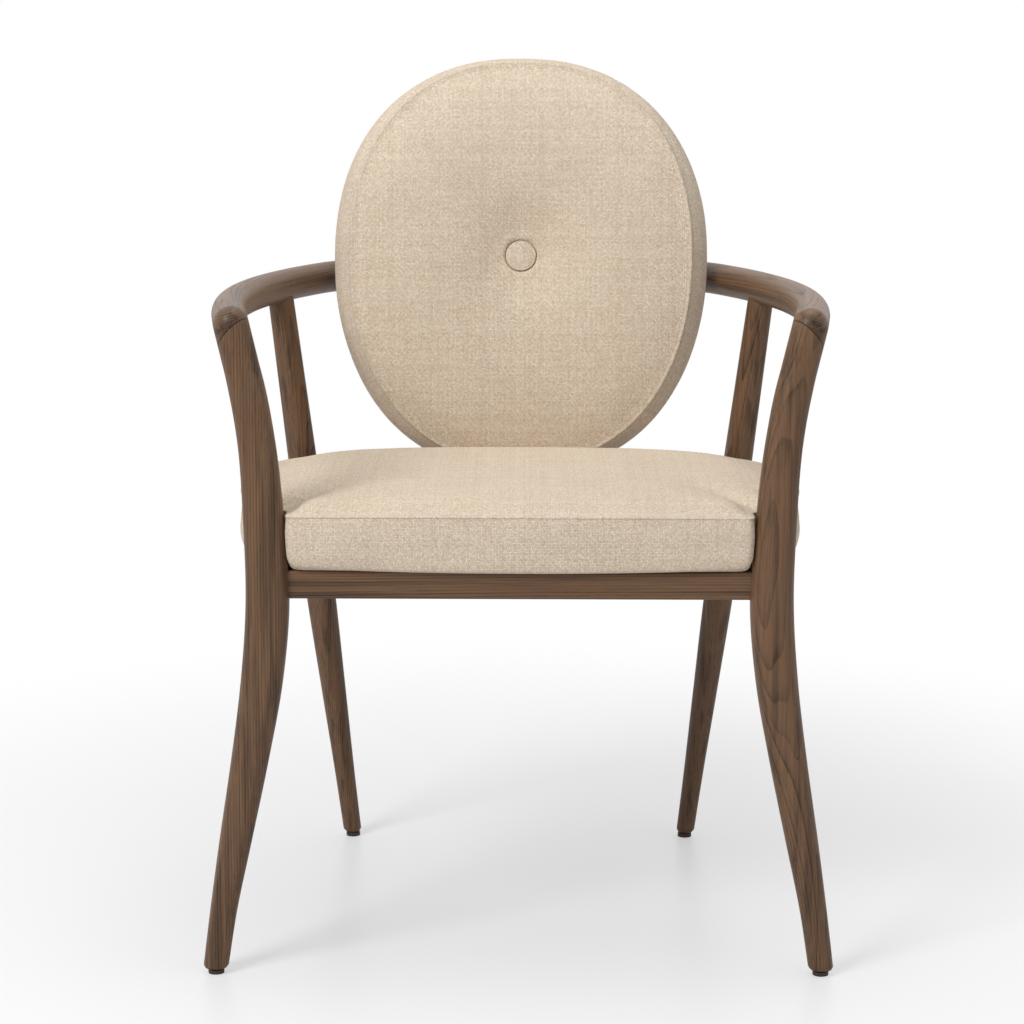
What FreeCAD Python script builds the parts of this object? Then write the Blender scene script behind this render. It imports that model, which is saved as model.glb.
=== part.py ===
import FreeCAD, Part
import math
import os

# Dining armchair with a horseshoe arm rail, four splayed legs, a seat cushion notched
# round the front legs and an oval back cushion with one tufted button.
# Millimetres and degrees. X runs across the chair, Y from the front to the back, Z is up.
# Places in Y are measured from the line of the front feet. Last of all the chair is moved
# so that the origin is the middle of its outline on the floor.

Vector = FreeCAD.Vector
ORIGIN = Vector(0, 0, 0)
ACROSS = Vector(1, 0, 0)
BACKWARD = Vector(0, 1, 0)
UP = Vector(0, 0, 1)

# Whole chair, with the heights of the rail, seat and back as shares of its own
TOTAL_HEIGHT = 900.0
RAIL_HEIGHT_SHARE = 0.7256
SEAT_HEIGHT_SHARE = 0.4578
BACK_UPPER_SHARE = 0.2544
BACK_LOWER_SHARE = 0.2722
CUT_OVERRUN = 20.0
SOFT_GAP = 0.3
WOOD_FIT = 0.05

# Arm rail: a round bar bent to a horseshoe, given by the arcs of its centre line
RAIL_RADIUS = 17.4
RAIL_CENTRE_Z = TOTAL_HEIGHT * RAIL_HEIGHT_SHARE
RAIL_REAR_Y = 572.5
RAIL_BOW_RADIUS = 413.0
RAIL_BOW_TURN = 22.0
RAIL_SHOULDER_RADIUS = 136.0
RAIL_SHOULDER_TURN = 42.0
RAIL_ARM_RADIUS = 682.0
RAIL_ARM_TURN = 33.4
RAIL_CORNER_Y = 10.0
RAIL_DOWEL_RADIUS = 5.0
RAIL_DOWEL_LENGTH = 56.0

# Front legs: an S-curve of rounded sections from the foot to the corner of the rail
FRONT_FOOT_X = 304.0
FRONT_FOOT_Y = 3.0
FRONT_LEG_WIDTH = 42.7
FRONT_LEG_DEPTH = 38.0
FRONT_LEG_TOP_LEAN = 13.0
FRONT_LEG_STRAIGHT_TOP = 46.0
FRONT_JOINT_DROP = 23.0
FRONT_JOINT_RISE_FORWARD = 30.0
FRONT_JOINT_RISE_INWARD = 24.0
LEG_CORNER_SHARE = 0.44
FRONT_DOWEL_RADIUS = 5.0
FRONT_DOWEL_LENGTH = 44.0
# height as a share of the rail's height, place across as a share of the foot's,
# width and depth as shares of the widest
FRONT_LEG_SHARES = [
    (0.019, 0.998, 0.585, 0.62),
    (0.092, 0.973, 0.625, 0.68),
    (0.214, 0.926, 0.760, 0.80),
    (0.337, 0.877, 0.872, 0.92),
    (0.459, 0.835, 0.972, 1.00),
    (0.582, 0.813, 1.000, 1.00),
    (0.704, 0.822, 0.934, 0.97),
    (0.827, 0.843, 0.855, 0.93),
    (0.905, 0.871, 0.828, 0.91),
]
FOOT_CHAMFER = 3.0

# Rear legs: straight, raked backward and inward, turned so that a corner faces forward
REAR_FOOT_X = 194.5
REAR_FOOT_Y = 462.0
REAR_POST_ANGLE = 73.0
REAR_LEG_SIZE = 31.6
REAR_LEG_TURN = 30.0
REAR_DOWEL_RADIUS = 5.0
REAR_DOWEL_LENGTH = 40.0
REAR_LEG_SHARES = [
    (0.019, 0.62),
    (0.100, 0.67),
    (0.280, 0.84),
    (0.460, 1.00),
    (0.620, 1.00),
    (0.800, 0.92),
    (1.000, 0.84),
]

# Glides: a plastic pad with a narrower neck, nailed up into each foot
GLIDE_RADIUS = 8.0
GLIDE_PAD_HEIGHT = 4.0
GLIDE_NECK_RADIUS = 6.5
GLIDE_NECK_HEIGHT = 2.0
GLIDE_RECESS = 1.6
NAIL_RADIUS = 1.4
NAIL_LENGTH = 18.0
NAIL_HEAD_RADIUS = 3.2
NAIL_HEAD_HEIGHT = 0.9

# Seat frame
SEAT_RAIL_TOP_Z = TOTAL_HEIGHT * SEAT_HEIGHT_SHARE
SEAT_RAIL_HEIGHT = 28.0
SEAT_RAIL_THICKNESS = 24.0
FRONT_RAIL_Y = 14.0
REAR_RAIL_SET_FORWARD = 9.0
SEAT_DOWEL_RADIUS = 4.0
SEAT_DOWEL_IN_LEG = 12.0
SEAT_DOWEL_IN_RAIL = 26.0
SEAT_DOWEL_SPACING = 16.0
BLOCK_LEG_LENGTH = 54.0
BLOCK_HEIGHT = 20.0
BLOCK_DROP = 4.0
SCREW_RADIUS = 2.0
SCREW_HEAD_RADIUS = 4.0
SCREW_HEAD_HEIGHT = 2.6
SCREW_SOCKET_RADIUS = 1.5
BLOCK_SCREW_LENGTH = 34.0
BLOCK_SCREW_PLACE_SHARE = 0.52
BLOCK_SCREW_BITE_SHARE = 0.8
SEAT_SCREW_PLACE_SHARE = 0.36
SIDE_SCREW_PLACE_SHARE = 0.6
SEAT_SCREW_IN_PANEL = 9.0

# Seat cushion, from the bottom hem to the crown
SEAT_FRONT_Y = -8.0
SEAT_REAR_Y = 398.0
SEAT_WIDEST_HALF = 291.0
SEAT_WIDEST_Y = 186.0
SEAT_LEG_GAP = 0.6
SEAT_SHOULDER_SETBACK = 3.0
SEAT_ROUND_EXPONENT = 3.3
SEAT_ROUND_TURNS = [14, 30, 44, 58, 74]
SEAT_FRONT_CORNER = 8.0
SEAT_NOTCH_INNER_CORNER = 8.0
SEAT_NOTCH_OUTER_CORNER = 9.0
SEAT_CORNER_GROWTH_SHARE = 0.05
SEAT_BORDER_HEIGHT = 54.0
SEAT_CROWN = 16.0
SEAT_DRAW_IN = 9.0
SEAT_CROWN_INSET = 150.0
SEAT_PANEL_THICKNESS = 12.0
SEAT_PANEL_INSET = 14.0
SEAT_HEM_WIDTH = 34.0
SEAT_DUST_COVER_THICKNESS = 1.0
COVER_THICKNESS = 1.5
# shares of the draw-in and of the border's height, from the hem up to the seam
SEAT_BORDER_SHARES = [(1.00, 0.00), (0.50, 0.05), (0.14, 0.17), (0.00, 0.48), (0.06, 0.80), (0.22, 1.00)]
# shares of the crown's inset and of its height, from the seam to the middle
SEAT_CROWN_SHARES = [(0.065, 0.22), (0.18, 0.50), (0.40, 0.80), (0.70, 0.96), (1.00, 1.00)]

# Back cushion: an oval, bent about an upright axis in front of it and leaned back
BACK_HALF_ARC = 202.0
BACK_UPPER = TOTAL_HEIGHT * BACK_UPPER_SHARE
BACK_LOWER = TOTAL_HEIGHT * BACK_LOWER_SHARE
BACK_OVAL_EXPONENT = 2.2
BACK_BEND_RADIUS = 650.0
BACK_THICKNESS = 60.0
BACK_FRONT_Y = 446.0
BACK_RECLINE = 11.5
BACK_CROWN = 18.0
BACK_REAR_CROWN = 9.0
BACK_PANEL_THICKNESS = 12.0
BACK_PANEL_SETBACK = 8.0
BACK_PANEL_SHARE = 0.90
BACK_FRONT_SEAM_SHARE = 0.96
BACK_REAR_SEAM_SHARE = 0.90
BUTTON_RADIUS = 17.0
BUTTON_EDGE = 2.6
BUTTON_DOME = 1.8
BUTTON_SINK = 14.0
TWINE_RADIUS = 1.2
TWINE_KNOT_RADIUS = 4.0
TWINE_KNOT_HEIGHT = 2.0
# size as a share of the oval, depth as a share of the thickness, rear crown, front crown and sink
BACK_REAR_SHARES = [(0.09, 1.0, 1.0), (0.35, 1.0, 0.88), (0.64, 1.0, 0.55), (0.86, 1.0, 0.05)]
BACK_WIDEST_DEPTH_SHARE = 0.45
BACK_BAND_SHARES = [
    (0.955, 0.90),
    (0.992, 0.70),
    (1.0, BACK_WIDEST_DEPTH_SHARE),
    (0.988, 0.20),
    (0.962, 0.04),
]
BACK_FRONT_SHARES = [(0.90, 0.30), (0.72, 0.76), (0.46, 1.0), (0.30, 0.93)]
BACK_DIMPLE_SHARES = [(0.19, 0.36), (0.12, 0.80)]

# What holds the back: bolts through the rail with wooden spacers, and a steel bracket below
BOLT_RADIUS = 3.0
BOLT_HEAD_RADIUS = 5.2
BOLT_HEAD_HEIGHT = 3.4
BOLT_SINK = 3.0
BOLT_GAP = 0.3
SPACER_RADIUS = 13.0
SPACER_PLACE_SHARE = 0.483
SPACER_TURN = math.degrees(SPACER_PLACE_SHARE * BACK_HALF_ARC / BACK_BEND_RADIUS)
NUT_FLANGE_RADIUS = 9.0
NUT_FLANGE_THICKNESS = 1.4
NUT_BARREL_RADIUS = 4.2
NUT_BARREL_LENGTH = 9.0
BRACKET_WIDTH = 50.0
BRACKET_THICKNESS = 4.0
BRACKET_SCREW_LENGTH = 20.0
# places down the back as shares of its lower half, and the stand-off as a share of the rear crown
BRACKET_STAND_SHARE = 0.6
BRACKET_BOTTOM_SHARE = 1.03
BRACKET_TOP_SHARE = 0.62
BRACKET_BOLT_SHARES = (0.80, 0.68)


def bar(start, end, radius):
    """Round bar between two points."""
    axis = end.sub(start)
    return Part.makeCylinder(radius, axis.Length, start, axis)


def half_space(point, direction):
    """Solid that fills everything on one side of a plane through the point."""
    reach = TOTAL_HEIGHT + RAIL_REAR_Y
    return Part.makeCylinder(reach, reach, point, direction)


def mirrored(shape):
    """The same piece on the other side of the chair."""
    return shape.mirror(ORIGIN, ACROSS)


def arc_edge(start, middle, end):
    """Arc of under a half circle through three points."""
    return Part.Arc(start, middle, end).toShape()


def line_edge(start, end):
    """Straight edge between two points."""
    return Part.LineSegment(start, end).toShape()


def prism(wire, direction):
    """Plate or block swept from a flat outline."""
    return Part.Face(wire).extrude(direction)


def between(low, high, share):
    """Value a share of the way from low to high."""
    return low + (high - low) * share


def at_height(stations, height):
    """Values of a list of stations at a height, in straight steps between them."""
    if height <= stations[0][0]:
        return stations[0]
    for below, above in zip(stations, stations[1:]):
        if height <= above[0]:
            share = (height - below[0]) / (above[0] - below[0])
            return tuple(between(low, high, share) for low, high in zip(below, above))
    return stations[-1]


def rounded_section(centre, width, depth, turn=0):
    """Level rounded rectangle of lines and quarter arcs, turned about its centre."""
    radius = LEG_CORNER_SHARE * min(width, depth)
    half_width = width / 2
    half_depth = depth / 2
    bend = radius * math.sin(math.radians(45))
    edges = []
    for quarter in range(4):
        along, over = (half_width, half_depth) if quarter % 2 == 0 else (half_depth, half_width)
        corner = Vector(along - radius, over - radius, 0)
        points = [
            corner.add(Vector(radius, 0, 0)),
            corner.add(Vector(bend, bend, 0)),
            corner.add(Vector(0, radius, 0)),
            Vector(radius - along, over, 0),
        ]
        spin = FreeCAD.Rotation(UP, 90 * quarter + turn)
        points = [centre.add(spin.multVec(point)) for point in points]
        edges.append(arc_edge(points[0], points[1], points[2]))
        edges.append(line_edge(points[2], points[3]))
    return Part.Wire(edges)


def round_section(centre, axis, radius):
    """Circle across an axis, split into eight arcs that start like the rounded section's."""
    side = BACKWARD.cross(axis).normalize()
    behind = axis.cross(side).normalize()
    corner = 45 * LEG_CORNER_SHARE
    splits = []
    for quarter in range(4):
        splits.append(90 * quarter + corner)
        splits.append(90 * quarter + 90 - corner)
    edges = []
    for index, angle in enumerate(splits):
        following = splits[(index + 1) % len(splits)]
        if following < angle:
            following += 360
        points = []
        for turn in (angle, (angle + following) / 2, following):
            spoke = side * math.cos(math.radians(turn)) + behind * math.sin(math.radians(turn))
            points.append(centre.add(spoke * radius))
        edges.append(arc_edge(points[0], points[1], points[2]))
    return Part.Wire(edges)


# Arm rail


def rail_point(turn):
    """Point of the rail's centre line where it has turned by an angle from the rear middle."""
    x = 0
    y = RAIL_REAR_Y
    begun = 0
    arcs = (
        (RAIL_BOW_RADIUS, RAIL_BOW_TURN),
        (RAIL_SHOULDER_RADIUS, RAIL_SHOULDER_TURN),
        (RAIL_ARM_RADIUS, RAIL_ARM_TURN),
    )
    for radius, sweep in arcs:
        ended = min(begun + sweep, turn)
        if ended > begun:
            x += radius * (math.sin(math.radians(ended)) - math.sin(math.radians(begun)))
            y -= radius * (math.cos(math.radians(begun)) - math.cos(math.radians(ended)))
        begun += sweep
    return Vector(x, y, RAIL_CENTRE_Z)


def rail_direction(turn):
    """Direction of the rail's right half where it has turned by an angle."""
    return Vector(math.cos(math.radians(turn)), -math.sin(math.radians(turn)), 0)


RAIL_FULL_TURN = RAIL_BOW_TURN + RAIL_SHOULDER_TURN + RAIL_ARM_TURN
RAIL_ARM_END = rail_point(RAIL_FULL_TURN)
RAIL_FRONT_STRAIGHT = (RAIL_ARM_END.y - RAIL_CORNER_Y) / math.sin(math.radians(RAIL_FULL_TURN))
RAIL_CORNER = RAIL_ARM_END.add(rail_direction(RAIL_FULL_TURN) * RAIL_FRONT_STRAIGHT)
LEG_TOP_TURN = math.radians(FRONT_LEG_TOP_LEAN)
LEG_TOP_DOWN = Vector(-math.sin(LEG_TOP_TURN), 0, -math.cos(LEG_TOP_TURN))
FRONT_JOINT = RAIL_CORNER.add(LEG_TOP_DOWN * FRONT_JOINT_DROP)
FRONT_JOINT_NORMAL = Vector(
    math.tan(math.radians(FRONT_JOINT_RISE_INWARD)), math.tan(math.radians(FRONT_JOINT_RISE_FORWARD)), 1
).normalize()


def rail_centre_line():
    """Half of the horseshoe's centre line, from the rear middle to the front corner."""
    bounds = [0, RAIL_BOW_TURN, RAIL_BOW_TURN + RAIL_SHOULDER_TURN, RAIL_FULL_TURN]
    edges = []
    for begun, ended in zip(bounds, bounds[1:]):
        middle = rail_point((begun + ended) / 2)
        edges.append(arc_edge(rail_point(begun), middle, rail_point(ended)))
    edges.append(line_edge(RAIL_ARM_END, RAIL_CORNER))
    return Part.Wire(edges)


def make_right_half_rail():
    """Right half of the horseshoe bar with its corner and the stub that meets the leg."""
    profile = Part.Wire([Part.makeCircle(RAIL_RADIUS, rail_point(0), ACROSS)])
    tube = rail_centre_line().makePipeShell([profile], True, False)
    corner = Part.makeSphere(RAIL_RADIUS, RAIL_CORNER)
    stub_end = RAIL_CORNER.add(LEG_TOP_DOWN * FRONT_LEG_STRAIGHT_TOP)
    stub = bar(RAIL_CORNER, stub_end, RAIL_RADIUS)
    below_joint = half_space(FRONT_JOINT, FRONT_JOINT_NORMAL * -1)
    return tube.fuse([corner, stub]).removeSplitter().cut(below_joint)


def bow_joint_plane():
    """Point and direction of the glued joint between the bow and the right arm."""
    return rail_point(RAIL_BOW_TURN), rail_direction(RAIL_BOW_TURN)


def rail_dowel_ends():
    """Ends of the dowel across the joint between the bow and the right arm."""
    point, direction = bow_joint_plane()
    reach = direction * (RAIL_DOWEL_LENGTH / 2)
    return point.sub(reach), point.add(reach)


def widened(start, end, radius):
    """Bore for a glued or pressed round piece, longer and wider by the wood's fit."""
    axis = end.sub(start).normalize() * WOOD_FIT
    return bar(start.sub(axis), end.add(axis), radius + WOOD_FIT)


# Legs


def front_leg_stations():
    """Height, place across, width and depth of the right front leg, from the foot up."""
    whole = (RAIL_CENTRE_Z, FRONT_FOOT_X, FRONT_LEG_WIDTH, FRONT_LEG_DEPTH)
    return [tuple(share * size for share, size in zip(shares, whole)) for shares in FRONT_LEG_SHARES]


def front_leg_y(height):
    """Place of the front leg's centre from front to back at a height."""
    return between(FRONT_FOOT_Y, RAIL_CORNER_Y, height / RAIL_CENTRE_Z)


def make_front_leg():
    """Right front leg up to the slanting joint under the rail's corner."""
    stations = front_leg_stations()
    foot_z = GLIDE_PAD_HEIGHT + GLIDE_NECK_HEIGHT
    first = stations[0]
    foot_centre = Vector(first[1], front_leg_y(foot_z), foot_z)
    wires = [rounded_section(foot_centre, first[2] - FOOT_CHAMFER, first[3] - FOOT_CHAMFER)]
    for height, across, width, depth in stations:
        centre = Vector(across, front_leg_y(height), height)
        wires.append(rounded_section(centre, width, depth))
    axis = LEG_TOP_DOWN * -1
    for drop in (FRONT_LEG_STRAIGHT_TOP, FRONT_LEG_STRAIGHT_TOP / 2, 0):
        wires.append(round_section(RAIL_CORNER.add(LEG_TOP_DOWN * drop), axis, RAIL_RADIUS))
    leg = Part.makeLoft(wires, True, True)
    return leg.cut(half_space(FRONT_JOINT, FRONT_JOINT_NORMAL))


REAR_POST_TOP = rail_point(REAR_POST_ANGLE)
REAR_FOOT = Vector(REAR_FOOT_X, REAR_FOOT_Y, 0)


def rear_leg_point(height):
    """Point of the right rear leg's straight centre line at a height."""
    return REAR_FOOT.add(REAR_POST_TOP.sub(REAR_FOOT) * (height / RAIL_CENTRE_Z))


def make_rear_leg(rail):
    """Right rear leg, coped to the underside of the rail."""
    foot_z = GLIDE_PAD_HEIGHT + GLIDE_NECK_HEIGHT
    first = REAR_LEG_SHARES[0][1] * REAR_LEG_SIZE - FOOT_CHAMFER
    wires = [rounded_section(rear_leg_point(foot_z), first, first, REAR_LEG_TURN)]
    for height, size in REAR_LEG_SHARES:
        side = size * REAR_LEG_SIZE
        centre = rear_leg_point(height * RAIL_CENTRE_Z)
        wires.append(rounded_section(centre, side, side, REAR_LEG_TURN))
    return Part.makeLoft(wires, True, True).cut(rail)


def front_top_dowel_ends():
    """Ends of the dowel across the joint between the right front leg and the rail."""
    up = LEG_TOP_DOWN * (-FRONT_DOWEL_LENGTH / 2)
    return FRONT_JOINT.sub(up), FRONT_JOINT.add(up)


def rear_top_dowel_ends():
    """Ends of the dowel between the right rear leg and the rail."""
    axis = REAR_POST_TOP.sub(REAR_FOOT).normalize()
    top = REAR_POST_TOP.add(axis * (RAIL_RADIUS / 2))
    return top.sub(axis * REAR_DOWEL_LENGTH), top


# Glides


def make_glide(foot):
    """Pad and neck with a bore for the nail and a recess for its head."""
    pad = Part.makeCylinder(GLIDE_RADIUS, GLIDE_PAD_HEIGHT, foot)
    neck_foot = foot.add(UP * GLIDE_PAD_HEIGHT)
    neck = Part.makeCylinder(GLIDE_NECK_RADIUS, GLIDE_NECK_HEIGHT, neck_foot)
    recess = Part.makeCylinder(NAIL_HEAD_RADIUS + WOOD_FIT, GLIDE_RECESS, foot)
    bore = Part.makeCylinder(NAIL_RADIUS + WOOD_FIT, GLIDE_PAD_HEIGHT + GLIDE_NECK_HEIGHT, foot)
    return pad.fuse(neck).removeSplitter().cut(recess).cut(bore)


def make_nail(foot, fit=0):
    """Nail through the glide into the foot, or its bore when a fit is given."""
    head_foot = foot.add(UP * (GLIDE_RECESS - NAIL_HEAD_HEIGHT))
    head = Part.makeCylinder(NAIL_HEAD_RADIUS, NAIL_HEAD_HEIGHT, head_foot)
    shank_foot = foot.add(UP * GLIDE_RECESS)
    shank = Part.makeCylinder(NAIL_RADIUS + fit, NAIL_LENGTH + fit, shank_foot)
    if fit:
        return shank
    return head.fuse(shank)


# Seat frame

SEAT_RAIL_MIDDLE_Z = SEAT_RAIL_TOP_Z - SEAT_RAIL_HEIGHT / 2
FRONT_LEG_AT_RAIL = at_height(front_leg_stations(), SEAT_RAIL_MIDDLE_Z)
FRONT_LEG_CENTRE = Vector(FRONT_LEG_AT_RAIL[1], front_leg_y(SEAT_RAIL_MIDDLE_Z), SEAT_RAIL_MIDDLE_Z)
REAR_LEG_CENTRE = rear_leg_point(SEAT_RAIL_MIDDLE_Z)
REAR_RAIL_Y = REAR_LEG_CENTRE.y - REAR_RAIL_SET_FORWARD


def make_beam(start, end):
    """Seat rail of rectangular section whose centre line joins two points."""
    run = end.sub(start)
    beam = Part.makeBox(run.Length, SEAT_RAIL_THICKNESS, SEAT_RAIL_HEIGHT)
    beam.translate(Vector(0, -SEAT_RAIL_THICKNESS / 2, -SEAT_RAIL_HEIGHT / 2))
    beam.rotate(ORIGIN, UP, math.degrees(math.atan2(run.y, run.x)))
    beam.translate(start)
    return beam


def side_rail_face(y):
    """Point on the inner face of the right side rail, at its middle height."""
    run = REAR_LEG_CENTRE.sub(FRONT_LEG_CENTRE)
    centre = FRONT_LEG_CENTRE.add(run * ((y - FRONT_LEG_CENTRE.y) / run.y))
    return centre.sub(ACROSS * (SEAT_RAIL_THICKNESS / 2 * run.Length / run.y))


def seat_rails(front_legs, rear_legs):
    """The four seat rails by name, each cut to the faces of its legs."""
    front_reach = ACROSS * FRONT_LEG_CENTRE.x
    rear_reach = ACROSS * REAR_LEG_CENTRE.x
    front_middle = Vector(0, FRONT_RAIL_Y, SEAT_RAIL_MIDDLE_Z)
    rear_middle = Vector(0, REAR_RAIL_Y, SEAT_RAIL_MIDDLE_Z)
    front = make_beam(front_middle.sub(front_reach), front_middle.add(front_reach))
    rear = make_beam(rear_middle.sub(rear_reach), rear_middle.add(rear_reach))
    side = make_beam(FRONT_LEG_CENTRE, REAR_LEG_CENTRE).cut([front_legs[0], rear_legs[0]])
    return {
        "front_seat_rail": front.cut(front_legs),
        "rear_seat_rail": rear.cut(rear_legs),
        "side_seat_rail_right": side,
        "side_seat_rail_left": mirrored(side),
    }


def seat_dowel_lines():
    """Start in the leg, end in the rail, of each seat rail dowel on the right side."""
    run = REAR_LEG_CENTRE.sub(FRONT_LEG_CENTRE).normalize()
    half_rear = REAR_LEG_SIZE / 2
    front_face = Vector(FRONT_LEG_CENTRE.x - FRONT_LEG_AT_RAIL[2] / 2, FRONT_RAIL_Y, SEAT_RAIL_MIDDLE_Z)
    rear_face = Vector(REAR_LEG_CENTRE.x - half_rear, REAR_RAIL_Y, SEAT_RAIL_MIDDLE_Z)
    side_front = FRONT_LEG_CENTRE.add(run * (FRONT_LEG_AT_RAIL[3] / 2))
    side_rear = REAR_LEG_CENTRE.sub(run * half_rear)
    faces = [
        (front_face, ACROSS * -1),
        (rear_face, ACROSS * -1),
        (side_front, run),
        (side_rear, run * -1),
    ]
    lines = []
    for face, into_rail in faces:
        for side in (-1, 1):
            place = face.add(UP * (side * SEAT_DOWEL_SPACING / 2))
            start = place.sub(into_rail * SEAT_DOWEL_IN_LEG)
            lines.append((start, place.add(into_rail * SEAT_DOWEL_IN_RAIL)))
    return lines


def block_corner(front):
    """Right-angled corner of a corner block and the directions along its two rails."""
    along_side = REAR_LEG_CENTRE.sub(FRONT_LEG_CENTRE).normalize()
    y = FRONT_RAIL_Y + SEAT_RAIL_THICKNESS / 2
    if not front:
        along_side = along_side * -1
        y = REAR_RAIL_Y - SEAT_RAIL_THICKNESS / 2
    return Vector(side_rail_face(y).x, y, SEAT_RAIL_TOP_Z - BLOCK_DROP - BLOCK_HEIGHT), along_side


def make_block(front):
    """Triangular glue block in a corner of the seat frame, before it is cut to the leg."""
    corner, along_side = block_corner(front)
    along_end = corner.add(ACROSS * -BLOCK_LEG_LENGTH)
    side_end = corner.add(along_side * BLOCK_LEG_LENGTH)
    outline = Part.makePolygon([corner, along_end, side_end, corner])
    return prism(outline, UP * BLOCK_HEIGHT)


def make_screw(tip, axis, length, fit=0):
    """Wood screw with a socket in its head, or its bore and head pocket when a fit is given."""
    head_foot = tip.add(axis * length)
    shank = bar(tip.sub(axis * fit), head_foot, SCREW_RADIUS + fit)
    if fit:
        pocket = bar(head_foot.sub(axis * fit), head_foot.add(axis * CUT_OVERRUN), SCREW_HEAD_RADIUS + fit)
        return shank.fuse(pocket)
    head = bar(head_foot, head_foot.add(axis * SCREW_HEAD_HEIGHT), SCREW_HEAD_RADIUS)
    socket_foot = head_foot.add(axis * (SCREW_HEAD_HEIGHT / 2))
    socket = bar(socket_foot, socket_foot.add(axis * SCREW_HEAD_HEIGHT), SCREW_SOCKET_RADIUS)
    return shank.fuse(head).cut(socket)


def block_screw_tips(front):
    """Tip and outward axis of the two screws that hold a right corner block to its rails."""
    corner, along_side = block_corner(front)
    middle = UP * (BLOCK_HEIGHT / 2)
    reach = BLOCK_LEG_LENGTH * BLOCK_SCREW_PLACE_SHARE
    in_rail = SEAT_RAIL_THICKNESS * BLOCK_SCREW_BITE_SHARE
    end_axis = BACKWARD if front else BACKWARD * -1
    side_axis = along_side.cross(UP).normalize()
    if side_axis.x > 0:
        side_axis = side_axis * -1
    end_tip = corner.add(ACROSS * -reach).add(middle).sub(end_axis * in_rail)
    side_tip = corner.add(along_side * reach).add(middle).sub(side_axis * in_rail)
    return [(end_tip, end_axis), (side_tip, side_axis)]


def seat_screw_tips():
    """Tips and whole lengths of the screws up through the right front block and side rail."""
    corner, along_side = block_corner(True)
    reach = BLOCK_LEG_LENGTH * SEAT_SCREW_PLACE_SHARE
    in_block = corner.add(ACROSS * -reach).add(along_side * reach)
    run = REAR_LEG_CENTRE.sub(FRONT_LEG_CENTRE)
    in_rail = FRONT_LEG_CENTRE.add(run * SIDE_SCREW_PLACE_SHARE)
    top = SEAT_RAIL_TOP_Z + COVER_THICKNESS + SEAT_SCREW_IN_PANEL
    return [
        (Vector(in_block.x, in_block.y, top), top - corner.z),
        (Vector(in_rail.x, in_rail.y, top), top - SEAT_RAIL_TOP_Z + SEAT_RAIL_HEIGHT),
    ]


# Seat cushion


def seat_profile():
    """Inset and height of the cushion's outer form, from the hem to the middle of the crown."""
    seam_inset = SEAT_BORDER_SHARES[-1][0] * SEAT_DRAW_IN
    seam_z = SEAT_RAIL_TOP_Z + SEAT_BORDER_HEIGHT
    points = [
        (inset * SEAT_DRAW_IN, SEAT_RAIL_TOP_Z + height * SEAT_BORDER_HEIGHT)
        for inset, height in SEAT_BORDER_SHARES
    ]
    points += [
        (between(seam_inset, SEAT_CROWN_INSET, inset), seam_z + height * SEAT_CROWN)
        for inset, height in SEAT_CROWN_SHARES
    ]
    return points


def moved_inward(profile, distance):
    """A profile of inset and height moved towards its inside by a distance."""
    moved = []
    for index, (inset, height) in enumerate(profile):
        before = profile[max(index - 1, 0)]
        after = profile[min(index + 1, len(profile) - 1)]
        run = Vector(after[0] - before[0], after[1] - before[1], 0).normalize()
        moved.append((inset + distance * run.y, height - distance * run.x))
    bottom = profile[0][1] + distance
    first = (moved[0][0] + distance, bottom)
    return [first] + [point for point in moved[1:] if point[1] > bottom + distance]


def seat_outline(inset, height):
    """Level outline of the cushion: straight between the front legs, notched behind them."""
    leg = at_height(front_leg_stations(), min(height, SEAT_RAIL_TOP_Z + SEAT_BORDER_HEIGHT))
    leg_rear = front_leg_y(height) + FRONT_LEG_DEPTH / 2
    growth = SEAT_CORNER_GROWTH_SHARE * inset
    front = SEAT_FRONT_Y + inset
    inner = leg[1] - leg[2] / 2 - SEAT_LEG_GAP - inset
    notch = leg_rear + SEAT_LEG_GAP + inset
    outer = leg[1] + leg[2] / 2 - SEAT_SHOULDER_SETBACK - inset
    widest = SEAT_WIDEST_HALF - inset
    rear = SEAT_REAR_Y - inset
    front_corner = SEAT_FRONT_CORNER + growth
    inner_corner = SEAT_NOTCH_INNER_CORNER + growth
    outer_corner = SEAT_NOTCH_OUTER_CORNER + growth
    bend = math.sin(math.radians(45))

    def place(x, y):
        return Vector(x, y, height)

    def corner(centre_x, centre_y, radius, start, end):
        middle = math.radians((start + end) / 2)
        points = []
        for turn in (math.radians(start), middle, math.radians(end)):
            points.append(place(centre_x + radius * math.cos(turn), centre_y + radius * math.sin(turn)))
        return tuple(points)

    def rear_point(turn):
        power = 2 / SEAT_ROUND_EXPONENT
        across = widest * abs(math.cos(math.radians(turn))) ** power
        return place(across, SEAT_WIDEST_Y + (rear - SEAT_WIDEST_Y) * math.sin(math.radians(turn)) ** power)

    side_start = place(outer, notch + outer_corner)
    side_end = place(widest, SEAT_WIDEST_Y)
    side_middle = place(between(outer, widest, bend), between(side_start.y, side_end.y, 1 / 2))
    turns = [rear_point(turn) for turn in SEAT_ROUND_TURNS]
    right = [
        (place(0, front), place(inner - front_corner, front)),
        corner(inner - front_corner, front + front_corner, front_corner, -90, 0),
        (place(inner, front + front_corner), place(inner, notch - inner_corner)),
        corner(inner + inner_corner, notch - inner_corner, inner_corner, 180, 90),
        (place(inner + inner_corner, notch), place(outer - outer_corner, notch)),
        corner(outer - outer_corner, notch + outer_corner, outer_corner, -90, 0),
        (side_start, side_middle, side_end),
        (side_end, turns[0], turns[1]),
        (turns[1], turns[2], turns[3]),
        (turns[3], turns[4], place(0, rear)),
    ]
    left = [tuple(place(-point.x, point.y) for point in reversed(edge)) for edge in reversed(right)]
    edges = [line_edge(*edge) if len(edge) == 2 else arc_edge(*edge) for edge in right + left]
    return Part.Wire(edges)


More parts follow.
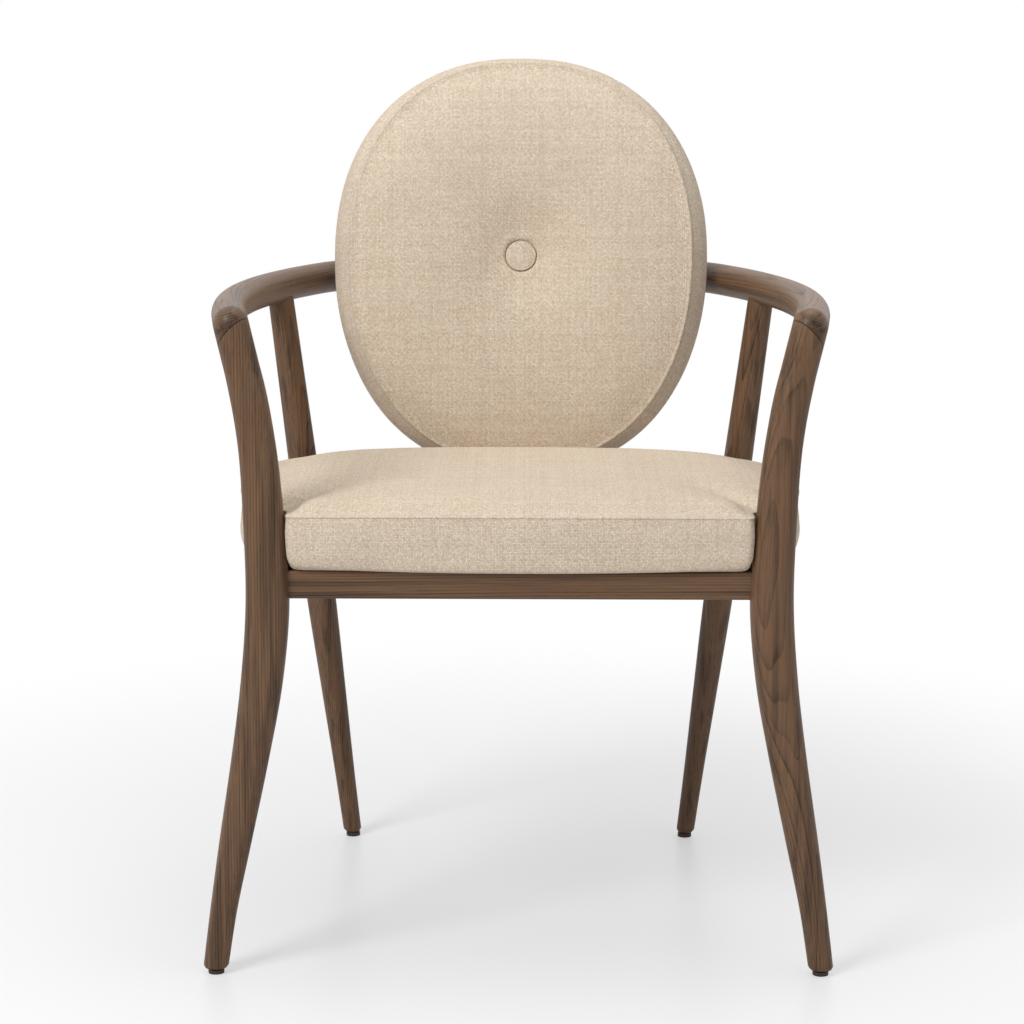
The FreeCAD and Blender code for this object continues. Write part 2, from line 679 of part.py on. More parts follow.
def seat_form(profile):
    """Solid lofted straight from one level outline of a profile to the next."""
    return Part.makeLoft([seat_outline(inset, height) for inset, height in profile], True, True)


def seat_cushion():
    """Panel, foam, top and border covers and dust cover of the seat, by name."""
    outer = seat_form(seat_profile())
    inner = seat_form(moved_inward(seat_profile(), COVER_THICKNESS))
    panel_z = SEAT_RAIL_TOP_Z + COVER_THICKNESS
    panel = prism(seat_outline(SEAT_PANEL_INSET, panel_z), UP * SEAT_PANEL_THICKNESS)
    hem_z = SEAT_RAIL_TOP_Z - CUT_OVERRUN
    opening = prism(seat_outline(SEAT_HEM_WIDTH, hem_z), UP * (CUT_OVERRUN + COVER_THICKNESS))
    cover = outer.cut(inner).cut(opening)
    seam = Vector(0, 0, SEAT_RAIL_TOP_Z + SEAT_BORDER_HEIGHT)
    above = half_space(seam, UP)
    dust_z = panel_z - SEAT_DUST_COVER_THICKNESS
    dust_cover = prism(seat_outline(SEAT_HEM_WIDTH + SOFT_GAP, dust_z), UP * SEAT_DUST_COVER_THICKNESS)
    return {
        "seat_panel": panel,
        "seat_foam": inner.cut(panel),
        "seat_cover_border": cover.cut(above),
        "seat_cover_top": cover.common(above),
        "seat_dust_cover": dust_cover,
    }


# Back cushion, built upright with its middle at the origin and leaned back afterwards

BACK_PANEL_REAR = BACK_THICKNESS - BACK_PANEL_SETBACK
BACK_PANEL_FRONT = BACK_PANEL_REAR - BACK_PANEL_THICKNESS
BUTTON_DEPTH = BUTTON_SINK - BACK_CROWN


def oval_point(turn, size, depth, flat=False):
    """Point of an oval ring, bent unless flat, at a depth behind the front of the back."""
    power = 2 / BACK_OVAL_EXPONENT
    across = math.cos(math.radians(turn))
    up = math.sin(math.radians(turn))
    arc = size * BACK_HALF_ARC * math.copysign(abs(across) ** power, across)
    reach = BACK_UPPER if up > 0 else BACK_LOWER
    height = size * reach * math.copysign(abs(up) ** power, up)
    if flat:
        return Vector(arc, depth, height)
    bend = arc / BACK_BEND_RADIUS
    radius = BACK_BEND_RADIUS + depth
    return Vector(radius * math.sin(bend), radius * math.cos(bend) - BACK_BEND_RADIUS, height)


def oval_ring(size, depth, flat=False):
    """Closed ring of eight arcs."""
    edges = []
    for index in range(8):
        points = [oval_point(45 * (index + step / 2), size, depth, flat) for step in range(3)]
        edges.append(arc_edge(points[0], points[1], points[2]))
    return Part.Wire(edges)


def button_ring(depth):
    """Round flat ring under the button."""
    centre = Vector(0, depth, 0)
    edges = []
    for index in range(8):
        points = []
        for step in range(3):
            turn = math.radians(45 * (index + step / 2))
            points.append(centre.add(Vector(math.cos(turn), 0, math.sin(turn)) * BUTTON_RADIUS))
        edges.append(arc_edge(points[0], points[1], points[2]))
    return Part.Wire(edges)


def back_profile():
    """Size share and depth of the back's outer form, from the rear middle to the dimple."""
    points = [(size, BACK_THICKNESS + crown * BACK_REAR_CROWN) for size, _, crown in BACK_REAR_SHARES]
    points += [(size, depth * BACK_THICKNESS) for size, depth in BACK_BAND_SHARES]
    points += [(size, -crown * BACK_CROWN) for size, crown in BACK_FRONT_SHARES]
    points += [(size, between(-BACK_CROWN, BUTTON_DEPTH, sink)) for size, sink in BACK_DIMPLE_SHARES]
    return points


def back_profile_inside(distance):
    """The back's profile moved inward by a distance."""
    profile = back_profile()
    moved = []
    for index, (size, depth) in enumerate(profile):
        before = profile[max(index - 1, 0)]
        after = profile[min(index + 1, len(profile) - 1)]
        run = Vector((after[0] - before[0]) * BACK_HALF_ARC, after[1] - before[1], 0).normalize()
        moved.append((size + distance * run.y / BACK_HALF_ARC, depth - distance * run.x))
    return moved


def back_form(profile, button_depth):
    """Solid lofted through the rings of a profile, closed by the flat ring under the button."""
    rings = [oval_ring(size, depth, index == 0) for index, (size, depth) in enumerate(profile)]
    rings.append(button_ring(button_depth))
    return Part.makeLoft(rings, True, True)


def bend_core(depth):
    """Everything in front of the bent surface at a depth."""
    low = -BACK_LOWER - BACK_THICKNESS
    height = BACK_UPPER - low + BACK_THICKNESS
    return Part.makeCylinder(BACK_BEND_RADIUS + depth, height, Vector(0, -BACK_BEND_RADIUS, low))


def oval_prism(size, depth, start, end):
    """Straight prism over an oval ring taken at a depth, from a start to an end in depth."""
    edges = []
    for index in range(8):
        points = []
        for step in range(3):
            point = oval_point(45 * (index + step / 2), size, depth)
            points.append(Vector(point.x, start, point.z))
        edges.append(arc_edge(points[0], points[1], points[2]))
    return prism(Part.Wire(edges), BACKWARD * (end - start))


def make_button():
    """Domed button on the bottom of the dimple."""
    seat = BUTTON_DEPTH - SOFT_GAP
    rim = seat - BUTTON_EDGE
    crest = rim - BUTTON_DOME
    ball_radius = (BUTTON_RADIUS * BUTTON_RADIUS + BUTTON_DOME * BUTTON_DOME) / (2 * BUTTON_DOME)
    ball = Part.makeSphere(ball_radius, Vector(0, crest + ball_radius, 0))
    column = bar(Vector(0, crest - BUTTON_EDGE, 0), Vector(0, seat, 0), BUTTON_RADIUS)
    return column.common(ball)


def make_twine():
    """Twine from the button through foam and panel to a knot behind the panel."""
    start = Vector(0, BUTTON_DEPTH - SOFT_GAP, 0)
    end = Vector(0, BACK_PANEL_REAR, 0)
    knot = bar(end, end.add(BACKWARD * TWINE_KNOT_HEIGHT), TWINE_KNOT_RADIUS)
    return bar(start, end, TWINE_RADIUS).fuse(knot)


def back_cushion():
    """Panel, foams, covers, button and twine of the back, by name, still upright."""
    outer = back_form(back_profile(), BUTTON_DEPTH)
    inner = back_form(back_profile_inside(COVER_THICKNESS), BUTTON_DEPTH + COVER_THICKNESS)
    far = BACK_BEND_RADIUS / 2
    middle = BACK_THICKNESS / 2
    plate = oval_prism(BACK_PANEL_SHARE, BACK_PANEL_REAR, -far, far)
    panel = plate.common(bend_core(BACK_PANEL_REAR)).cut(bend_core(BACK_PANEL_FRONT))
    front_field = oval_prism(BACK_FRONT_SEAM_SHARE, 0, -far, middle)
    rear_field = oval_prism(BACK_REAR_SEAM_SHARE, BACK_THICKNESS, middle, far)
    cover = outer.cut(inner)
    core = bend_core(BACK_PANEL_REAR)
    twine_hole = bar(Vector(0, -BACK_CROWN, 0), Vector(0, BACK_PANEL_REAR, 0), TWINE_RADIUS + WOOD_FIT)
    knot_room = bar(
        Vector(0, BACK_PANEL_REAR, 0),
        Vector(0, BACK_PANEL_REAR + TWINE_KNOT_HEIGHT + SOFT_GAP, 0),
        TWINE_KNOT_RADIUS + SOFT_GAP,
    )
    return {
        "back_panel": panel.cut(twine_hole),
        "back_foam": inner.common(core).cut([panel, twine_hole]),
        "back_wadding": inner.cut([core, knot_room]),
        "back_cover_front": cover.common(front_field).cut(twine_hole),
        "back_cover_rear": cover.common(rear_field),
        "back_cover_border": cover.cut([front_field, rear_field]),
        "back_button": make_button(),
        "button_twine": make_twine(),
    }


def lean_back(shape):
    """Moves a piece of the back from its upright frame to its place in the chair."""
    lean = math.radians(BACK_RECLINE)
    widest_depth = BACK_WIDEST_DEPTH_SHARE * BACK_THICKNESS
    centre_z = TOTAL_HEIGHT - BACK_UPPER * math.cos(lean) + widest_depth * math.sin(lean)
    placed = shape.copy()
    placed.rotate(ORIGIN, ACROSS, -BACK_RECLINE)
    placed.translate(Vector(0, BACK_FRONT_Y, centre_z))
    return placed


def leaned_point(point):
    """A point of the back's upright frame in the chair's frame."""
    return lean_back(Part.Vertex(point)).Point


# What holds the back

BRACKET_DEPTH = BACK_THICKNESS + BACK_REAR_CROWN * BRACKET_STAND_SHARE


def panel_normal(turn):
    """Backward direction square to the bent panel at an angle from its middle."""
    return Vector(math.sin(math.radians(turn)), math.cos(math.radians(turn)), 0)


def panel_point(turn, depth, height):
    """Point of the bent surface at a depth, at an angle from its middle and a height."""
    centre = Vector(0, -BACK_BEND_RADIUS, height)
    return centre.add(panel_normal(turn) * (BACK_BEND_RADIUS + depth))


def make_t_nut(turn, height):
    """Nut with a flange on the panel's front face and a barrel in the panel."""
    axis = panel_normal(turn)
    face = panel_point(turn, BACK_PANEL_FRONT, height)
    flange = bar(face.sub(axis * NUT_FLANGE_THICKNESS), face, NUT_FLANGE_RADIUS)
    barrel = bar(face, face.add(axis * NUT_BARREL_LENGTH), NUT_BARREL_RADIUS)
    bore = bar(face.sub(axis * CUT_OVERRUN), face.add(axis * CUT_OVERRUN), BOLT_RADIUS + WOOD_FIT)
    return flange.fuse(barrel).cut(bore)


def make_t_nut_room(turn, height):
    """Room for a nut in the panel and the foam."""
    axis = panel_normal(turn)
    face = panel_point(turn, BACK_PANEL_FRONT, height)
    room_end = face.sub(axis * (NUT_FLANGE_THICKNESS + SOFT_GAP))
    flange_room = bar(room_end, face, NUT_FLANGE_RADIUS + SOFT_GAP)
    barrel_room = bar(face, face.add(axis * (NUT_BARREL_LENGTH + WOOD_FIT)), NUT_BARREL_RADIUS + WOOD_FIT)
    return flange_room.fuse(barrel_room)


def make_bolt(start, end, fit=0):
    """Bolt whose head is at the end, or its bore and head pocket when a fit is given."""
    axis = end.sub(start).normalize()
    shank = bar(start, end, BOLT_RADIUS + fit)
    if fit:
        pocket = bar(end.sub(axis * fit), end.add(axis * RAIL_RADIUS), BOLT_HEAD_RADIUS + fit)
        return shank.fuse(pocket)
    head = bar(end, end.add(axis * BOLT_HEAD_HEIGHT), BOLT_HEAD_RADIUS)
    socket_foot = end.add(axis * (BOLT_HEAD_HEIGHT / 2))
    socket = bar(socket_foot, socket_foot.add(axis * BOLT_HEAD_HEIGHT), SCREW_SOCKET_RADIUS)
    return shank.fuse(head).cut(socket)


def spacer_axis():
    """Depth and height at which the axis of a right spacer meets the rail's centre line."""
    lean = math.radians(BACK_RECLINE)
    turn = math.radians(SPACER_TURN)
    drop = RAIL_CENTRE_Z - leaned_point(ORIGIN).z
    across = math.sin(turn)
    back = math.cos(turn) / math.cos(lean)
    bow_centre_y = RAIL_REAR_Y - RAIL_BOW_RADIUS
    offset = BACK_FRONT_Y - BACK_BEND_RADIUS / math.cos(lean) + drop * math.tan(lean) - bow_centre_y
    square = across * across + back * back
    inside = (offset * back) ** 2 - square * (offset * offset - RAIL_BOW_RADIUS * RAIL_BOW_RADIUS)
    reach = (math.sqrt(inside) - offset * back) / square
    set_back = reach * math.cos(turn) - BACK_BEND_RADIUS
    height = drop / math.cos(lean) + set_back * math.tan(lean)
    return reach - BACK_BEND_RADIUS, height


def bolt_ends():
    """Start and end under the head of the right rail bolt and the two bracket bolts."""
    depth, height = spacer_axis()
    head_depth = depth + RAIL_RADIUS - BOLT_SINK - BOLT_HEAD_HEIGHT
    strip_rear = BRACKET_DEPTH + BRACKET_THICKNESS
    start_depth = BACK_PANEL_FRONT - NUT_FLANGE_THICKNESS
    lines = [(SPACER_TURN, head_depth, height)]
    lines += [(0, strip_rear, place) for place in bracket_bolt_heights()]
    ends = []
    for turn, end_depth, place in lines:
        start = leaned_point(panel_point(turn, start_depth, place))
        ends.append((start, leaned_point(panel_point(turn, end_depth, place))))
    return ends


def bracket_bolt_heights():
    """Heights of the bracket's bolts in the upright frame of the back."""
    return [-BACK_LOWER * share for share in BRACKET_BOLT_SHARES]


def make_bracket():
    """Steel strip from the rear seat rail under the back cushion and up behind it."""
    rail_face = REAR_RAIL_Y + SEAT_RAIL_THICKNESS / 2
    low = Vector(0, rail_face, SEAT_RAIL_TOP_Z - SEAT_RAIL_HEIGHT + BLOCK_DROP)
    knee = Vector(0, rail_face, SEAT_RAIL_TOP_Z + BLOCK_DROP)
    bottom = leaned_point(Vector(0, BRACKET_DEPTH, -BACK_LOWER * BRACKET_BOTTOM_SHARE))
    top = leaned_point(Vector(0, BRACKET_DEPTH, -BACK_LOWER * BRACKET_TOP_SHARE))
    path = [low, knee, bottom, top]
    front = []
    rear = []
    for index, point in enumerate(path):
        before = path[max(index - 1, 0)]
        after = path[min(index + 1, len(path) - 1)]
        into = point.sub(before) if index else after.sub(point)
        out = after.sub(point) if index < len(path) - 1 else into
        bisector = into.normalize().add(out.normalize()).normalize()
        side = bisector.cross(ACROSS).normalize()
        spread = BRACKET_THICKNESS / abs(side.dot(into.cross(ACROSS)))
        front.append(point)
        rear.append(point.add(side * spread))
    outline = Part.makePolygon(front + list(reversed(rear)) + [front[0]])
    strip = prism(outline, ACROSS * BRACKET_WIDTH)
    strip.translate(ACROSS * (-BRACKET_WIDTH / 2))
    return strip


def bracket_screw_tips():
    """Tips in the rear seat rail of the screws that hold the bracket."""
    head_y = REAR_RAIL_Y + SEAT_RAIL_THICKNESS / 2 + BRACKET_THICKNESS
    tips = []
    for across in (-1, 1):
        for up in (-1, 1):
            x = across * BRACKET_WIDTH / 4
            z = SEAT_RAIL_MIDDLE_Z + up * SEAT_DOWEL_SPACING / 2
            tips.append(Vector(x, head_y - BRACKET_SCREW_LENGTH, z))
    return tips


def both_sides(shapes):
    """The shapes and their mirror images."""
    return shapes + [mirrored(shape) for shape in shapes]


def build_chair():
    """Every piece of the chair by node name; a list holds loose copies of one fastener."""
    half_rail = make_right_half_rail()
    joint, direction = bow_joint_plane()
    right_arm = half_rail.common(half_space(joint, direction))
    half_bow = half_rail.cut(half_space(joint, direction))
    bow = half_bow.fuse(mirrored(half_bow)).removeSplitter()
    front_leg = make_front_leg()
    rear_leg = make_rear_leg(half_rail)
    front_legs = [front_leg, mirrored(front_leg)]
    rear_legs = [rear_leg, mirrored(rear_leg)]
    rails = seat_rails(front_legs, rear_legs)

    foot_x = FRONT_LEG_SHARES[0][1] * FRONT_FOOT_X
    front_foot = Vector(foot_x, front_leg_y(0), 0)
    feet = [front_foot, REAR_FOOT]
    nail_bores = [make_nail(foot, WOOD_FIT) for foot in feet]
    joint_dowel = bar(*rail_dowel_ends(), RAIL_DOWEL_RADIUS)
    joint_bore = widened(*rail_dowel_ends(), RAIL_DOWEL_RADIUS)
    top_dowel = bar(*front_top_dowel_ends(), FRONT_DOWEL_RADIUS)
    top_bore = widened(*front_top_dowel_ends(), FRONT_DOWEL_RADIUS)
    post_dowel = bar(*rear_top_dowel_ends(), REAR_DOWEL_RADIUS)
    post_bore = widened(*rear_top_dowel_ends(), REAR_DOWEL_RADIUS)
    seat_dowels = [bar(start, end, SEAT_DOWEL_RADIUS) for start, end in seat_dowel_lines()]
    seat_bores = [widened(start, end, SEAT_DOWEL_RADIUS) for start, end in seat_dowel_lines()]

    blocks = {}
    block_screws = []
    block_screw_bores = []
    seat_screws = []
    seat_screw_bores = []
    for tip, length in seat_screw_tips():
        seat_screws.append(make_screw(tip, UP * -1, length - SCREW_HEAD_HEIGHT))
        seat_screw_bores.append(make_screw(tip, UP * -1, length - SCREW_HEAD_HEIGHT, WOOD_FIT))
    for front in (True, False):
        block = make_block(front)
        bores = []
        for tip, axis in block_screw_tips(front):
            block_screws.append(make_screw(tip, axis, BLOCK_SCREW_LENGTH))
            bores.append(make_screw(tip, axis, BLOCK_SCREW_LENGTH, WOOD_FIT))
        block_screw_bores += bores
        leg = front_leg if front else rear_leg
        name = "corner_block_front" if front else "corner_block_rear"
        blocks[name] = block.cut([leg] + bores + seat_screw_bores)

    parts = {}
    cushion = {name: lean_back(shape) for name, shape in back_cushion().items()}
    outer_back = lean_back(back_form(back_profile(), BUTTON_DEPTH))
    bolt_lines = bolt_ends()
    rail_bolt = make_bolt(*bolt_lines[0])
    bracket_bolts = [make_bolt(*line) for line in bolt_lines[1:]]
    bolt_bores = both_sides([make_bolt(*bolt_lines[0], BOLT_GAP)])
    bracket_bores = [make_bolt(*line, BOLT_GAP) for line in bolt_lines[1:]]
    depth, height = spacer_axis()
    rail_centre = leaned_point(panel_point(SPACER_TURN, depth, height))
    spacer_foot = leaned_point(panel_point(SPACER_TURN, BACK_PANEL_REAR, height))
    spacer = bar(spacer_foot, rail_centre, SPACER_RADIUS).cut([outer_back, half_rail, bolt_bores[0]])
    nut_places = [(SPACER_TURN, height)] + [(0, place) for place in bracket_bolt_heights()]
    nuts = [lean_back(make_t_nut(*place)) for place in nut_places]
    nut_rooms = [lean_back(make_t_nut_room(*place)) for place in nut_places]
    nuts.append(mirrored(nuts[0]))
    nut_rooms.append(mirrored(nut_rooms[0]))
    bracket_screws = []
    bracket_screw_bores = []
    for tip in bracket_screw_tips():
        bracket_screws.append(make_screw(tip, BACKWARD, BRACKET_SCREW_LENGTH))
        bracket_screw_bores.append(make_screw(tip, BACKWARD, BRACKET_SCREW_LENGTH, WOOD_FIT))
    for name in ("back_panel", "back_foam"):
        cushion[name] = cushion[name].cut(nut_rooms + bolt_bores + bracket_bores)
    for name in ("back_wadding", "back_cover_rear"):
        cushion[name] = cushion[name].cut(bolt_bores + bracket_bores)

    arm = right_arm.cut([joint_bore, top_bore, post_bore])
    parts["arm_rail_right"] = arm
    parts["arm_rail_left"] = mirrored(arm)
    parts["arm_rail_bow"] = bow.cut(both_sides([joint_bore]) + bolt_bores)
    parts["rail_joint_dowels"] = both_sides([joint_dowel])
    front_leg_bores = [top_bore, nail_bores[0]] + seat_bores
    rear_leg_bores = [post_bore, nail_bores[1]] + seat_bores
    parts["front_leg_right"] = front_leg.cut(front_leg_bores)
    parts["front_leg_left"] = mirrored(parts["front_leg_right"])
    parts["rear_leg_right"] = rear_leg.cut(rear_leg_bores)
    parts["rear_leg_left"] = mirrored(parts["rear_leg_right"])
    parts["front_leg_dowels"] = both_sides([top_dowel])
    parts["rear_leg_dowels"] = both_sides([post_dowel])
    frame_bores = both_sides(seat_bores + block_screw_bores + seat_screw_bores) + bracket_screw_bores
    for name, rail in rails.items():
        parts[name] = rail.cut(frame_bores)
    parts["seat_rail_dowels"] = both_sides(seat_dowels)
    for name, block in blocks.items():
        parts[name + "_right"] = block
        parts[name + "_left"] = mirrored(block)
    parts["corner_block_screws"] = both_sides(block_screws)
    parts["seat_screws"] = both_sides(seat_screws)
    for foot, name in zip(feet, ("front", "rear")):
        glide = make_glide(foot)
        parts["glide_" + name + "_right"] = glide
        parts["glide_" + name + "_left"] = mirrored(glide)
    parts["glide_nails"] = both_sides([make_nail(foot) for foot in feet])

    seat = seat_cushion()
    upright_bores = both_sides(seat_screw_bores)
    for name in ("seat_panel", "seat_cover_border", "seat_dust_cover"):
        seat[name] = seat[name].cut(upright_bores)
    parts.update(seat)
    parts.update(cushion)
    parts["back_spacer_right"] = spacer
    parts["back_spacer_left"] = mirrored(spacer)
    parts["back_bolts"] = both_sides([rail_bolt])
    parts["back_t_nuts"] = nuts
    parts["back_bracket"] = make_bracket().cut(bracket_screw_bores + bracket_bores)
    parts["bracket_screws"] = bracket_screws
    parts["bracket_bolts"] = bracket_bolts
    return parts


def export(parts):
    """Centres the chair over the origin and writes one file for each node."""
    shapes = {}
    for name, piece in parts.items():
        shapes[name] = Part.makeCompound(piece) if isinstance(piece, list) else piece
    box = Part.makeCompound(list(shapes.values())).optimalBoundingBox(False)
    middle = Vector((box.XMin + box.XMax) / 2, (box.YMin + box.YMax) / 2, box.ZMin)
    os.makedirs("parts", exist_ok=True)
    for name, shape in shapes.items():
        moved = shape.copy()
        moved.translate(middle * -1)
        moved.exportStep(os.path.join("parts", name + ".step"))
        print(name, "solids", len(moved.Solids), "valid", moved.isValid(), "volume", round(moved.Volume))
    print("size", round(box.XLength, 1), round(box.YLength, 1), round(box.ZLength, 1), "moved", middle)


export(build_chair())
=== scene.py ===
"""Dining armchair: horseshoe arm rail, splayed legs, notched seat pad and tufted oval back."""

import logging
import math
from collections.abc import Callable, Sequence
from dataclasses import dataclass
from enum import Enum
from typing import Any

import bmesh
import bpy
import numpy as np
from mathutils import Euler, Matrix, Vector
from mathutils.kdtree import KDTree


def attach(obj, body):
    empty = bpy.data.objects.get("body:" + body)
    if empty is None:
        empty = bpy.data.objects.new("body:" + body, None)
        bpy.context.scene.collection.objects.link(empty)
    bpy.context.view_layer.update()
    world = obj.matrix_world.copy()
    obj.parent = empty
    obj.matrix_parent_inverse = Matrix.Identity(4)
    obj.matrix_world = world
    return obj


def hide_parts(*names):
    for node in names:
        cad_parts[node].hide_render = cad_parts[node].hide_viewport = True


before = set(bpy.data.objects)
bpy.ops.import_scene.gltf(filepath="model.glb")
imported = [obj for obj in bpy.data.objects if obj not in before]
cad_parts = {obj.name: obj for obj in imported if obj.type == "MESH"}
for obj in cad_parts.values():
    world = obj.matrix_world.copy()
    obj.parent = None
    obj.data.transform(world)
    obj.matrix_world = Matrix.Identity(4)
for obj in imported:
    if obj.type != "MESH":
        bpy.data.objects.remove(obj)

LOG = logging.getLogger("chair")
Array = np.ndarray
Colour = tuple[float, float, float]
Piece = bpy.types.Object
Material = bpy.types.Material
Tree = bpy.types.NodeTree
Finishes = dict[str, Material]
# Sizes are in millimetres from the line of the front feet, as the chair was measured.
# The row frame has its origin under the middle of the chair, in metres.
MIDDLE = np.array([0.0, 288.5565, 0.0])


def placed(points: Array) -> Array:
    """Millimetres from the line of the front feet turned into metres of the row frame."""
    return (np.asarray(points, float) - MIDDLE) / 1000.0


def paint(red: int, green: int, blue: int) -> Colour:
    """Linear colour of one read off a screen as three numbers up to 255."""
    return tuple(
        (c / 12.92 if c <= 0.04045 else ((c + 0.055) / 1.055) ** 2.4)
        for c in (v / 255 for v in (red, green, blue))
    )


def smooth_through(stations: Sequence[float], values: Array, at: Array) -> Array:
    """Values on a smooth line through given ones.

    Args:
        stations: Rising places at which the values are known.
        values: One row of values for each station.
        at: Places to read.

    Returns:
        One row for each place.
    """
    known = np.asarray(stations, float)
    rows = np.asarray(values, float).reshape(len(known), -1)
    slope = np.gradient(rows, known, axis=0)
    at = np.clip(np.asarray(at, float), known[0], known[-1])
    index = np.clip(np.searchsorted(known, at, side="right") - 1, 0, len(known) - 2)
    span = (known[index + 1] - known[index])[:, None]
    t = (at[:, None] - known[index][:, None]) / span
    return (
        (2 * t**3 - 3 * t**2 + 1) * rows[index]
        + (t**3 - 2 * t**2 + t) * span * slope[index]
        + (3 * t**2 - 2 * t**3) * rows[index + 1]
        + (t**3 - t**2) * span * slope[index + 1]
    )


def smooth_profile(points: Sequence[tuple[float, float]], count: int) -> Array:
    """Evenly spaced points on a smooth line through the corners of a profile."""
    corners = np.asarray(points, float)
    lengths = np.concatenate([[0.0], np.cumsum(np.linalg.norm(np.diff(corners, axis=0), axis=1))])
    return smooth_through(lengths, corners, np.linspace(0, lengths[-1], count))


def smoothstep(low: float, high: float, value: Array) -> Array:
    """Share from 0 to 1 that eases in and out between two limits."""
    t = np.clip((np.asarray(value, float) - low) / (high - low), 0, 1)
    return t * t * (3 - 2 * t)


# Meshes


def new_object(name: str, points: Array, faces: Sequence[Sequence[int]]) -> Piece:
    """Smoothly shaded closed mesh whose faces are turned outwards.

    Args:
        name: Name of the piece.
        points: Corners in metres of the row frame.
        faces: Corner numbers of each face.

    Returns:
        The new object, linked into the scene.
    """
    mesh = bpy.data.meshes.new(name)
    mesh.from_pydata([tuple(p) for p in points], [], [tuple(f) for f in faces])
    grown = bmesh.new()
    grown.from_mesh(mesh)
    bmesh.ops.recalc_face_normals(grown, faces=grown.faces[:])
    grown.to_mesh(mesh)
    grown.free()
    mesh.polygons.foreach_set("use_smooth", [True] * len(mesh.polygons))
    piece = bpy.data.objects.new(name, mesh)
    bpy.context.scene.collection.objects.link(piece)
    return piece


def tube_faces(rings: int, around: int) -> list[tuple[int, ...]]:
    """Faces of a closed skin over rings, with a fan to a middle point at both ends."""
    faces: list[tuple[int, ...]] = []
    for ring in range(rings - 1):
        for k in range(around):
            follow = (k + 1) % around
            start, after = ring * around, (ring + 1) * around
            faces.append((start + k, start + follow, after + follow, after + k))
    for start, middle in ((0, rings * around), ((rings - 1) * around, rings * around + 1)):
        faces += [(start + k, start + (k + 1) % around, middle) for k in range(around)]
    return faces


def ring_object(name: str, rings: Array) -> Piece:
    """Closed skin over rings of points in millimetres."""
    count, around = rings.shape[:2]
    ends = np.array([rings[0].mean(axis=0), rings[-1].mean(axis=0)])
    points = placed(np.concatenate([rings.reshape(-1, 3), ends]))
    return new_object(name, points, tube_faces(count, around))


def baked(piece: Piece) -> Piece:
    """The same object with its modifiers turned into plain mesh."""
    view = bpy.context.evaluated_depsgraph_get()
    mesh = bpy.data.meshes.new_from_object(
        piece.evaluated_get(view), preserve_all_data_layers=True, depsgraph=view
    )
    piece.modifiers.clear()
    piece.data = mesh
    return piece


def sharpened(piece: Piece, degrees: float = 38) -> Piece:
    """Marks edges over an angle as sharp, so that flats and rounds shade apart."""
    piece.data.set_sharp_from_angle(angle=math.radians(degrees))
    return piece


def cut_off(piece: Piece, point: Array, normal: Array) -> None:
    """Cuts away what lies beyond a plane, closes the cut and writes each corner's distance from it.

    Args:
        piece: Object whose mesh is cut.
        point: Point of the plane in metres.
        normal: Direction of the side that is taken away.
    """
    work = bmesh.new()
    work.from_mesh(piece.data)
    bmesh.ops.remove_doubles(work, verts=work.verts[:], dist=1e-6)
    everything = work.verts[:] + work.edges[:] + work.faces[:]
    bmesh.ops.bisect_plane(
        work,
        geom=everything,
        dist=1e-7,
        plane_co=Vector(point),
        plane_no=Vector(normal),
        clear_outer=True,
    )
    bmesh.ops.edgeloop_fill(work, edges=[edge for edge in work.edges if edge.is_boundary])
    bmesh.ops.recalc_face_normals(work, faces=work.faces[:])
    work.to_mesh(piece.data)
    work.free()
    piece.data.polygons.foreach_set("use_smooth", [True] * len(piece.data.polygons))
    way = np.asarray(normal, float) / np.linalg.norm(normal)
    layer = piece.data.attributes.new("joint", "FLOAT", "POINT")
    layer.data.foreach_set("value", ((mesh_points(piece) - np.asarray(point)) @ way).astype(np.float32))


def drilled(piece: Piece, holes: Sequence[tuple[Array, Array, float]]) -> Piece:
    """Bores round holes into a piece.

    Args:
        piece: Object to bore.
        holes: Start, end (metres) and radius of each hole.

    Returns:
        The bored object.
    """
    work = bmesh.new()
    for start, end, radius in holes:
        axis = Vector(end) - Vector(start)
        turn = axis.to_track_quat("Z", "Y").to_matrix().to_4x4()
        place = Matrix.Translation((Vector(start) + Vector(end)) / 2) @ turn
        bmesh.ops.create_cone(
            work,
            cap_ends=True,
            segments=40,
            radius1=radius,
            radius2=radius,
            depth=axis.length,
            matrix=place,
        )
    mesh = bpy.data.meshes.new("bores")
    work.to_mesh(mesh)
    work.free()
    cutter = bpy.data.objects.new("bores", mesh)
    bpy.context.scene.collection.objects.link(cutter)
    modifier = piece.modifiers.new("bores", "BOOLEAN")
    modifier.operation = "DIFFERENCE"
    modifier.solver = "EXACT"
    modifier.object = cutter
    baked(piece)
    bpy.data.objects.remove(cutter)
    return piece


def mesh_points(piece: Piece) -> Array:
    """Corners of an object's mesh, one row each, in metres."""
    flat = np.empty(len(piece.data.vertices) * 3)
    piece.data.vertices.foreach_get("co", flat)
    return flat.reshape(-1, 3)


def lay_grain(piece: Piece, grain: Array, way: Array) -> None:
    """Writes where each corner lay in the plank and how square the surface is to the grain.

    Args:
        piece: Wooden piece.
        grain: Two ways across the grain, then along it, in metres for each corner.
        way: Direction of the grain, for all corners or for each.
    """
    layer = piece.data.attributes.new("grain", "FLOAT_VECTOR", "POINT")
    layer.data.foreach_set("vector", np.asarray(grain, np.float32).ravel())
    normals = np.array([normal.vector for normal in piece.data.vertex_normals])
    layer = piece.data.attributes.new("end_grain", "FLOAT", "POINT")
    layer.data.foreach_set("value", np.abs((normals * way).sum(axis=1)).astype(np.float32))


# Shaders


